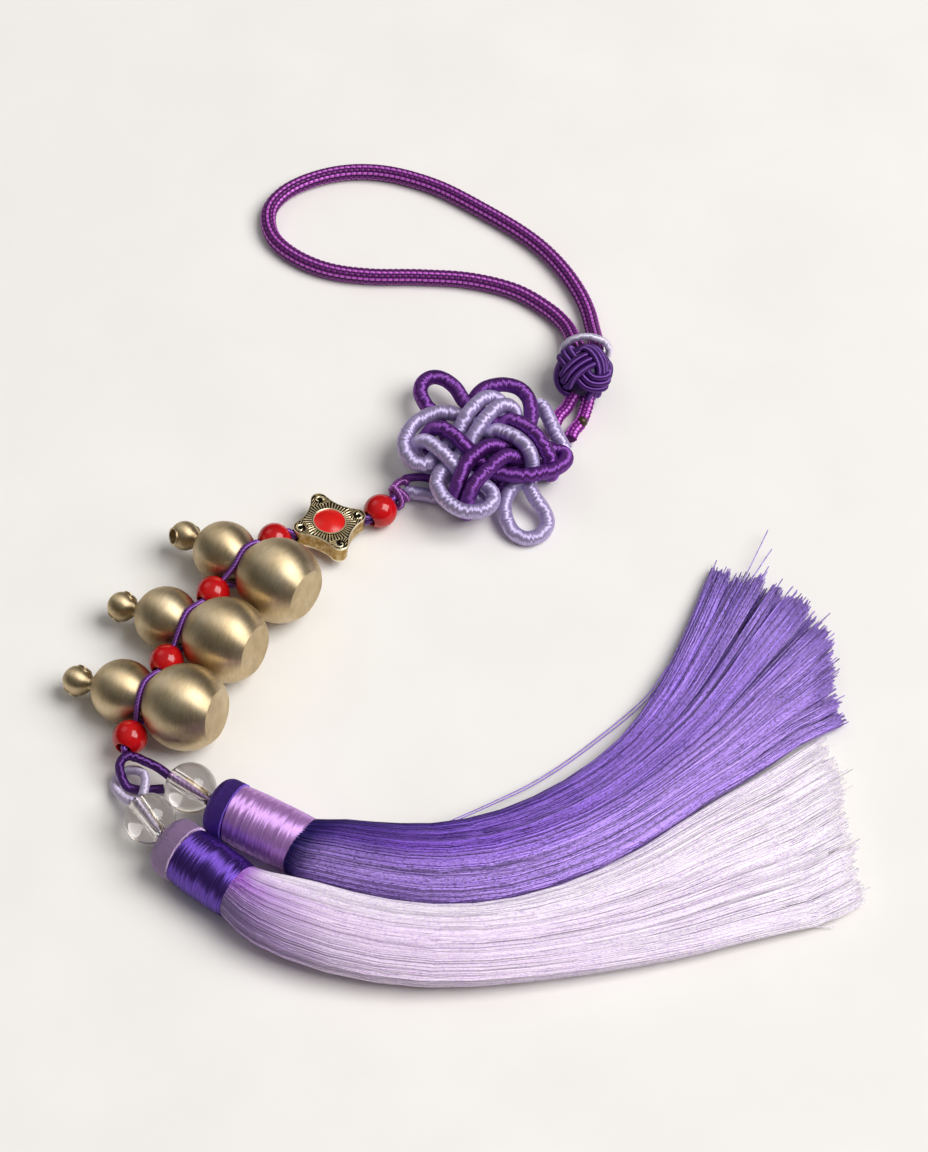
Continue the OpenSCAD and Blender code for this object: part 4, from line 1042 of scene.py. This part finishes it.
def spacer_rows(way, reach):
    """Distance from the middle, height and crest of each row of one face, the enamel's seat first."""
    top = SPACER_T / 2
    seat, rim = ENAMEL_D / 2 + 0.02, ENAMEL_D / 2 + ENAMEL_RIM
    rows = [
        (0.05, ENAMEL_SEAT, 0.4),
        (seat, ENAMEL_SEAT, 0.4),
        (seat + 0.02, top + 0.14, 0.9),
        (seat + 0.12, top + 0.2, 1.0),
        (rim - 0.06, top + 0.18, 1.0),
        (rim, top - 0.1, 0.3),
    ]
    for q in np.linspace(0.03, 1, 36):
        r = rim + q * (reach - 0.07 - rim)
        x, y = (way * r[:, None]).T
        height = spacer_relief(x, y, reach - r)
        rows.append((r, top - SPACER_RELIEF * (1 - height), height))
    rows.append((reach, top - 0.1, 0.85))
    rows += [(reach, z, 0.64) for z in np.linspace(top - 0.5, 0.3, 4)]
    return rows


def spacer():
    """Both faces, the polished side and the seats of the enamel, with the hole for the string."""
    turn = circle(SPACER_STEPS)
    way = np.stack([np.cos(turn), np.sin(turn)], axis=-1)
    columns = zip(*spacer_rows(way, spacer_reach(turn)))
    r, z, crest = (np.array([np.broadcast_to(v, turn.shape) for v in column]) for column in columns)
    half = np.concatenate([way * r[..., None], z[..., None]], axis=-1)
    grid = np.concatenate([half, half[::-1] * [1, 1, -1]])[::-1]
    crest = np.concatenate([crest, crest[::-1]])[::-1]
    rings = placed(grid.reshape(-1, 3), SPACER_AT, SPACER_TILT).reshape(1, *grid.shape)
    paint = antique_gold_paint()
    cast = surface(rings, crest=crest)
    piece = make_piece("spacer_cast", [cast], paint, ["spacer_bead"], SPACER_SHARP)
    rod = lathe([(-SPACER_L, SPACER_HOLE_D / 2), (SPACER_L, SPACER_HOLE_D / 2)], 24).reshape(-1, 3)
    rod = placed(placed(rod, (0, 0, 0), (0, 90, 0)), SPACER_AT, SPACER_TILT)
    cut(piece, rod.reshape(1, 2, 24, 3), SPACER_SHARP)


spacer()
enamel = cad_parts["spacer_enamel"]
enamel.data.materials.clear()
enamel.data.materials.append(glaze_paint("red_enamel", "#e01a14", "#d01410", 0.22))

# The string, the tie and the links

STRING_D = 1.0
# The cord that is drawn is a little thicker, as its plies stand out
STRING_PLIED_D = 1.08
STRING_SPLIT = STRING_D / 2 + 0.16
STRING_LEAD = 0.4
WAIST_ARC_R = GOURD_WAIST_D / 2 + STRING_D / 2 + 0.3
WAIST_ARC_ANGLES = (40, 90, 140)
STRING_START = np.array([-11.2, 19.5, 2.6])
STRING_END = np.array([-57.1, -35.6, 4.5])
TIE_AT = np.array([-11.9, 18.9, 2.6])
TIE_TURN = 48
TIE_CORD_D = 1.3
TIE_END_D = 1.5
# The tie's end, turned over the start of the tail
TIE_TAIL = [(-12.6, 18.9, 2.6), (-12.5, 20.2, 3), (-11.8, 21.4, 3.2), (-10.8, 21.9, 3.2), (-9.9, 21.4, 3.3)]
LINK_D = 1.6
TWIST_STEP = 0.22
TWIST_SIDES = 12
TWIST_DEPTH = 0.14


def twisted(route, diameter, plies, pitch):
    """The surface of a cord twisted from plies."""
    path = walk(route, TWIST_STEP)
    a = circle(TWIST_SIDES)[None]
    s = TWIST_STEP * np.arange(len(path))[:, None]
    # crest also picks the cord's colour: painted shade between the plies
    crest = np.abs(np.cos(plies / 2 * a - math.pi * plies * s / pitch))
    return surface(tube(path, diameter / 2 - TWIST_DEPTH * (1 - crest), TWIST_SIDES), crest=crest)


def stations(at, along, length):
    """Where a cord enters, crosses and leaves a bead."""
    reach = length / 2 - STRING_LEAD
    return [at + along * reach, at, at - along * reach]


def string_route(way):
    """The route of the cord that passes over (1) or under (-1) the gourds' waists."""
    lift = way * STRING_SPLIT * UP
    heading, slope = SPACER_TILT[2], math.radians(SPACER_TILT[1])
    along = math.cos(slope) * level(heading) - math.sin(slope) * UP
    beads = [stations(np.array(at) + lift, level(turn), RED_BEAD_D) for at, turn in RED_BEADS]
    route = [STRING_START + lift, TIE_AT + lift, *beads[0]]
    route += stations(np.array(SPACER_AT) + lift, along, SPACER_L) + beads[1]
    for (place, heading, fall), after in zip(GOURDS, beads[2:]):
        down = math.radians(fall)
        axis = math.cos(down) * level(heading) - math.sin(down) * UP
        rise = math.sin(down) * level(heading) + math.cos(down) * UP
        middle = np.array([*place, GOURD_BIG_D / 2]) + GOURD_WAIST_STEP * axis
        for a in np.radians(WAIST_ARC_ANGLES):
            out = way * math.sin(a) * rise - math.cos(a) * level(heading + 90)
            route.append(middle + WAIST_ARC_R * out)
        route += after
    return route + [STRING_END + lift]


def tie_turn(radius, first, last, lean, step):
    """A turn of the tie's cord round the string."""
    a = np.radians(np.linspace(first, last, 40))
    ahead = lean * (a - a.mean()) / (a[-1] - a[0])
    turn = np.stack([-radius * np.sin(a), radius * np.cos(a), ahead + step], axis=1)
    return placed(turn, TIE_AT, (0, 90, TIE_TURN))


string_paint = thread_paint("string_thread", "#4a1270", "#8030b0", "#b264dc", 0.7, 0.5)
for name, way in (("string_over", 1), ("string_under", -1)):
    cord = twisted(string_route(way), STRING_PLIED_D, plies=4, pitch=2.6)
    make_piece(f"{name}_cord", [cord], string_paint, [name])

tie_turns = [tie_turn(1.6, -40, 330, lean=-2.6, step=-0.3), tie_turn(1.5, 20, 200, lean=0.9, step=0.5)]
tie_strands = [(tie_turns[0], TIE_CORD_D), (tie_turns[1], TIE_CORD_D), (TIE_TAIL, TIE_END_D)]
tie = [twisted(route, width, plies=4, pitch=2.4) for route, width in tie_strands]
tie_paint = thread_paint("tie_cord", "#4a1068", "#96389e", "#c070d8", 0.7, 0.5)
make_piece("knot_tie_cord", tie, tie_paint, ["knot_tie"])

link_paint = thread_paint("link_purple", "#481868", "#64288c", "#7434a0")
link_lavender_paint = thread_paint("link_lavender", "#c0b0dc", "#dccef2", "#e6daf8", 0.4, 0.58, stretch=0.86)
for node, routes, seed, lean, paint in (
    ("link_purple", (LINK_PURPLE, LINK_PURPLE_BRANCH), 43, 4, link_paint),
    ("link_lavender", (LINK_LAVENDER,), 41, 6, link_lavender_paint),
):
    strands = [(route, LINK_D, seed) for route in routes]
    wound_cords(f"{node}_cord", strands, paint, node, pitch=0.32, depth=0.02, lean=lean)

# The tassels

TASSEL_CORD_D = 1.3
HEAD_D = 10.4
HEAD_SIDES = 72
COLLAR_WALL = 0.9
CAP_ROUND = 2.0
CAP_HOLE_D = 2.0
CAP_THREADS = 120
# Middle of the collar's start, heading towards the skirt, length of the collar and of the cap
TASSEL_1 = ((-45.9, -56.4, 5.25), -38, 11.2, 4.4)
TASSEL_2 = ((-38.1, -48.4, 5.4), -29, 13.8, 4.0)


def collar(node, tassel, paint, seed):
    """A sleeve wound with fine thread."""
    at, heading, length, _ = tassel
    start = np.array(at) + level(heading) * 0.1
    end = np.array(at) + level(heading) * length
    route = [start, (start + end) / 2, end]

    def width(share):
        return HEAD_D - 0.5 * (2 * share - 1) ** 4 - 0.12 * share

    winding = wound(
        along_route(route),
        pitch=0.24,
        diameter=width,
        sides=HEAD_SIDES,
        depth=0.02,
        lean=1.5,
        seed=seed,
        uneven=0.5,
    )
    inner = tube(walk(route, 1.0)[::-1], HEAD_D / 2 - COLLAR_WALL, HEAD_SIDES)[:, ::-1]
    first = np.argmin(np.linalg.norm(inner[0] - winding["rings"][-1, 0], axis=1))
    # The lining's crest of 0 takes the groove colour: painted shade inside the sleeve
    few = np.zeros((len(inner), 1))
    lining = {"rings": np.roll(inner, -first, axis=1), "crest": few, "tone": few}
    sleeve = {key: np.concatenate([winding[key], lining[key]]) for key in lining}
    make_piece(f"{node}_winding", [surface(joined=True, **sleeve)], paint, [node])


def cap_profile(length):
    """Steps and distances from the axis: mouth, round shoulder, wall and inside of a cap."""
    flat = HEAD_D / 2 - CAP_ROUND
    shoulder = [
        (length - CAP_ROUND + CAP_ROUND * math.cos(t), flat + CAP_ROUND * math.sin(t))
        for t in np.linspace(0, math.pi / 2, 9)
    ]
    hole = CAP_HOLE_D / 2
    mouth = [(length - 0.35, hole), (length - 0.05, hole + 0.25), (length + 0.02, 2.0)]
    wall = [(z, HEAD_D / 2) for z in np.linspace(length - CAP_ROUND - 0.4, 0.06, 6)]
    return mouth + shoulder + wall + [(0.06, hole), (length * 0.5, hole)]


def cap(node, tassel, paint, seed):
    """The head above the collar: threads that run from its hole over the round shoulder."""
    at, heading, _, length = tassel
    draws = np.random.default_rng(seed)
    profile = cap_profile(length)
    sides = CAP_THREADS * RINGS_PER_THREAD
    grid = lathe(profile, sides)
    side = np.arange(sides)
    crest = THREAD_PROFILE[side % RINGS_PER_THREAD][None]
    thread = (side + 1) // RINGS_PER_THREAD % CAP_THREADS
    tone = draws.uniform(-1, 1, CAP_THREADS)[thread][None]
    reach = np.hypot(grid[..., 0], grid[..., 1])
    outer = (np.arange(len(profile)) > 1) & (np.arange(len(profile)) < len(profile) - 2)
    groove = np.where(outer[:, None], 0.025 * (1 - crest) * np.clip(reach / 5, 0, 1), 0)
    grid[..., :2] *= (1 - groove / np.maximum(reach, 1e-6))[..., None]
    grid = placed(grid[::-1].reshape(-1, 3), (0, 0, 0), (180, 0, 0))
    rings = placed(grid, at, (0, 90, heading)).reshape(1, len(profile), sides, 3)
    threads = surface(rings, joined=True, lead="round", crest=crest, tone=tone)
    make_piece(f"{node}_threads", [threads], paint, [node])


def tassel_cord(node, bead_at, bead_turn, tassel, paint, slot):
    """A cord through a clear bead into the hole of a cap."""
    at, heading, _, length = tassel
    middle = np.array(bead_at)
    start = middle - level(bead_turn) * (CLEAR_BEAD_D / 2 - 0.3)
    end = middle + level(bead_turn) * CLEAR_BEAD_D / 2
    face = np.array(at) - level(heading) * (length + 0.12)
    route = [start, middle, end, face, face + level(heading) * 2]
    cord = twisted(route, TASSEL_CORD_D, plies=3, pitch=1.8)
    make_piece(f"{node}_twist", [cord], paint, [node])


lilac_head = thread_paint(
    "lilac_head_thread", "#c884e4", "#dc9cf4", "#e6acfa", 0.55, 0.54, 0.14, spread=15, stretch=0.94
)
purple_head = thread_paint(
    "purple_head_thread", "#4a2a9c", "#6c44b8", "#7a50c8", 0.92, 0.5, 0.14, spread=15, stretch=0.96
)
mauve_head = thread_paint("mauve_head_thread", "#9a76aa", "#b08cbe", "#bc98ca", 0.5, 0.56, 0.2, spread=15)
collar("tassel_1_collar", TASSEL_1, purple_head, 51)
collar("tassel_2_collar", TASSEL_2, lilac_head, 52)
cap("tassel_1_cap", TASSEL_1, mauve_head, 53)
cap("tassel_2_cap", TASSEL_2, purple_head, 54)
pale_cord = thread_paint("pale_tassel_cord", "#8f7bb0", "#d8caf0", "#ece2fb", 0.4, 0.45)
pink_cord = thread_paint("pink_tassel_cord", "#5c2a80", "#a56cc8", "#dcb4ee", 0.4, 0.45)
tassel_cord("tassel_cord_1", *CLEAR_BEADS[0], TASSEL_1, pale_cord, "link_lavender_cord")
tassel_cord("tassel_cord_2", *CLEAR_BEADS[1], TASSEL_2, pink_cord, "link_purple_cord")

# The skirts

# How far the skirts' ends reach beyond the last section, from the left edge to the right
LILAC_REACH = [2, 3, 3.5, 3, 2.5, 2.5, 2, 1.5]
PURPLE_REACH = [3, 5.5, 9, 12, 13, 11, 6, 2]
NECK_INSIDE = 2.5
# The dense core: its share of the skirt's width, its sides, its rings and the depth of its grooves
CORE_FILL = 0.9
CORE_SIDES = 72
CORE_STEPS = 48
CORE_GROOVE = 0.05
# Threads in a skirt, the tufts they gather in, and how unevenly they end, in millimetres
THREADS = 1560
TUFTS = 70
END_SPREAD = 2.2
THREAD_STEPS = 19
THREAD_R = 0.17
STRAY_R = 0.1


class Skirt:
    """A skirt's sections, from inside the collar to beyond its ends, and points in them."""

    def __init__(self, table, reach, tassel, painted_light_sides):
        at, heading, length, _ = tassel
        self.painted_light_sides = painted_light_sides
        neck_r = HEAD_D / 2 - COLLAR_WALL - 0.2
        middle = np.array(at) + level(heading) * (length - NECK_INSIDE)
        left = middle + level(heading + 90) * neck_r
        right = middle - level(heading + 90) * neck_r
        self.rows = np.array([[*left[:2], *right[:2], 2 * neck_r, at[2]], *table], float)
        self.last = len(self.rows) - 1
        self.reach = np.array(reach, float)
        tip = self.rows[-1] - self.rows[-2]
        self.last_step = np.linalg.norm((tip[:2] + tip[2:4]) / 2)

    def tint(self, u, x):
        """0.5, less towards the darker edge as painted shade and more towards the other one as a painted
        highlight.
        painted_light_sides is the painted shade's edge, -1 or 1, and how far along the painted shade and the
        painted highlight reach."""
        edge, dark, light = self.painted_light_sides
        # darker is painted shade along one edge, lighter a painted highlight along the other
        darker = np.clip((edge * x - 0.1) / 0.7, 0, 1) * np.clip(1.6 * (1 - u / (dark * self.last)), 0, 1)
        lighter = np.clip((0.1 - edge * x) / 0.7, 0, 1) * np.clip(3 * (1 - u / (light * self.last)), 0, 1)
        return 0.5 - 0.5 * darker + 0.5 * lighter * np.clip(u - 1, 0, 1)

    def end(self, x):
        """The place along the skirt where threads end, for a place across it from -1 to 1."""
        v = (np.asarray(x) + 1) / 2 * len(self.reach) - 0.5
        return self.last + np.interp(v, np.arange(len(self.reach)), self.reach) / self.last_step

    def point(self, u, x, y):
        """A point at u along the skirt, x across it and y through it, both from -1 to 1."""
        row = spline(self.rows, u)
        left, right = row[..., 0:2], row[..., 2:4]
        flat = (left + right) / 2 + (right - left) / 2 * np.asarray(x)[..., None]
        height = row[..., 5] + np.clip(row[..., 4], 0.8, None) / 2 * y
        return np.concatenate([flat, np.maximum(height, THREAD_R)[..., None]], axis=-1)


def skirt_core(skirt):
    """The dense inside of a skirt, which shows between the threads. At tone 0 it takes the darkest shade:
    painted shade between the threads.
    """
    a = circle(CORE_SIDES)[None]
    u = np.linspace(0, skirt.last - 0.25, CORE_STEPS)[:, None] + 0 * a
    groove = 1 - CORE_GROOVE * (np.arange(CORE_SIDES)[None] % 2)
    rings = skirt.point(u, CORE_FILL * groove * np.cos(a), -CORE_FILL * groove * np.sin(a))
    # crest carries the painted shade and painted highlight of the skirt's sides
    return surface(rings, crest=skirt.tint(u, np.cos(a)), along=u / skirt.last)


def skirt_threads(skirt, seed):
    """Loose threads of a skirt. They gather in tufts towards their uneven ends."""
    draws = np.random.default_rng(seed)
    turn = draws.uniform(0, 2 * math.pi, THREADS)
    depth = 1 - 0.2 * draws.random(THREADS) ** 2
    x, y = depth * np.cos(turn), depth * np.sin(turn)
    under = (y < -0.2) & (draws.random(THREADS) < 0.6)
    y[under] *= -1
    tuft = draws.uniform(-1, 1, (TUFTS, 2)) * [1, 0.9]
    off_x, off_y = x[:, None] - tuft[None, :, 0], y[:, None] - tuft[None, :, 1]
    near = np.argmin(off_x**2 + 0.15 * off_y**2, axis=1)
    share = np.linspace(0, 1, THREAD_STEPS)[None]
    end = skirt.end(x) + draws.normal(0, END_SPREAD, THREADS) * 0.45 / skirt.last_step
    u = end[:, None] * share
    pull = 0.55 * share**2 * (0.4 + 0.6 * draws.random(THREADS)[:, None])
    wave = draws.uniform(0, 2 * math.pi, (2, THREADS, 1))
    sway = 0.004 + 0.022 * share
    across_x = x[:, None] + pull * (tuft[near, 0] - x)[:, None] + sway * np.sin(5 * share + wave[0])
    through = y[:, None] + 0.1 * share * np.sin(7 * share + wave[1])
    rings = thread_rings(skirt.point(u, across_x, through), share, wave[0])
    tone = draws.random(THREADS)[:, None, None]
    # crest carries the painted shade and painted highlight of the skirt's sides
    tint = skirt.tint(u, across_x)[..., None]
    return surface(rings, crest=tint, tone=tone, along=(u / skirt.last)[..., None])


def thread_rings(middle, share, turn):
    """Triangles round each thread's points, smaller towards its end and each thread's turned its own way."""
    along = unit(np.gradient(middle, axis=1))
    side = unit(np.cross(along, UP))
    lift = np.cross(side, along)
    a = (circle(3)[None] + turn)[:, None, :, None]
    radius = THREAD_R * (1 - 0.3 * share[..., None, None] ** 6)
    return middle[:, :, None] + radius * (np.cos(a) * side[:, :, None] + np.sin(a) * lift[:, :, None])


def stray_threads(routes, along):
    """Single threads that lie apart from a skirt. Each is coloured a little further along than the last."""
    return [
        surface(tube(walk(route, 1.0), STRAY_R, sides=5), crest=0.5, tone=0.5, along=along + 0.02 * i)
        for i, route in enumerate(routes)
    ]


# Single threads past the skirts' ends, and two that cross the purple one
PURPLE_STRAYS = [
    [(46.1, -5.8, 3), (47.7, -1.7, 2.6), (49.1, 1.6, 2.4), (51.5, 7.1, 2.2), (53.6, 12, 2)],
    [(47.2, -6.2, 3), (48.7, -2.6, 2.6), (49.9, 0.5, 2.4), (52, 4.3, 2.2), (54.1, 7.9, 2)],
]
PURPLE_LOOSE = [
    [
        (-2.3, -49.7, 5), (4.4, -45, 3), (11.1, -40.3, 1.5), (17.1, -35.4, 0.6), (23.1, -30.2, 0.6),
        (28, -25.8, 1), (31.8, -22.4, 2.4), (35, -17.4, 3),
    ],
    [
        (-2, -50, 5), (4.7, -45.3, 3), (11.4, -40.7, 1.5), (17.4, -35.8, 0.6), (23.3, -30.7, 0.6),
        (28.2, -26.4, 1), (32, -23, 2.4), (35, -18.4, 3),
    ],
]
LILAC_STRAYS = [
    [(48, -68, 2.4), (53.6, -66, 2), (57.8, -64.8, 1.6), (62, -63.6, 1.2), (65, -62.8, 0.8)],
    [(45, -68, 2.2), (50.2, -67.8, 2), (55.2, -67.7, 1.4), (60.9, -67.4, 0.6)],
    [(47, -60.6, 2.4), (52.3, -59.3, 2), (58.2, -58.1, 1.6), (63.3, -57, 1)],
    [(15.6, -76.9, 1.5), (25.5, -75.2, 0.8), (35.3, -73.2, 0.6), (45.3, -69.9, 0.6), (53.6, -67.7, 0.8)],
]

# The fifth colour is painted shade on the skirt's darker edge, the sixth a painted highlight on its lit side
lilac_silk = silk_paint(
    "lilac_silk", "#ac56d6", "#fae6ff", "#fff8ff", "#d4b6ea", "#a890c4", "#fff6ff",
    shades=(0.7, 0.95, 1.0, 1.0), metal=0.1,
)
purple_silk = silk_paint(
    "purple_silk", "#2c1478", "#9a64e6", "#c6a2ff", "#240e62", "#42228e", "#d0acff",
    shades=(0.26, 0.6, 0.92, 1.0), metal=0.5,
)
# Each last tuple gives the side of the painted shade and how far the painted shade and highlight reach
lilac_skirt = Skirt(LILAC_SKIRT, LILAC_REACH, TASSEL_1, (1, 0.4, 1))
purple_skirt = Skirt(PURPLE_SKIRT, PURPLE_REACH, TASSEL_2, (-1, 0.8, 1.2))
lilac_strays = stray_threads(LILAC_STRAYS, 0.9)
purple_strays = stray_threads(PURPLE_STRAYS, 0.9) + stray_threads(PURPLE_LOOSE, 0.5)
for name, skirt, strays, paint, node, seed in (
    ("lilac_fringe", lilac_skirt, lilac_strays, lilac_silk, "tassel_1_skirt", 61),
    ("purple_fringe", purple_skirt, purple_strays, purple_silk, "tassel_2_skirt", 62),
):
    make_piece(name, [skirt_core(skirt), skirt_threads(skirt, seed), *strays], paint, [node])
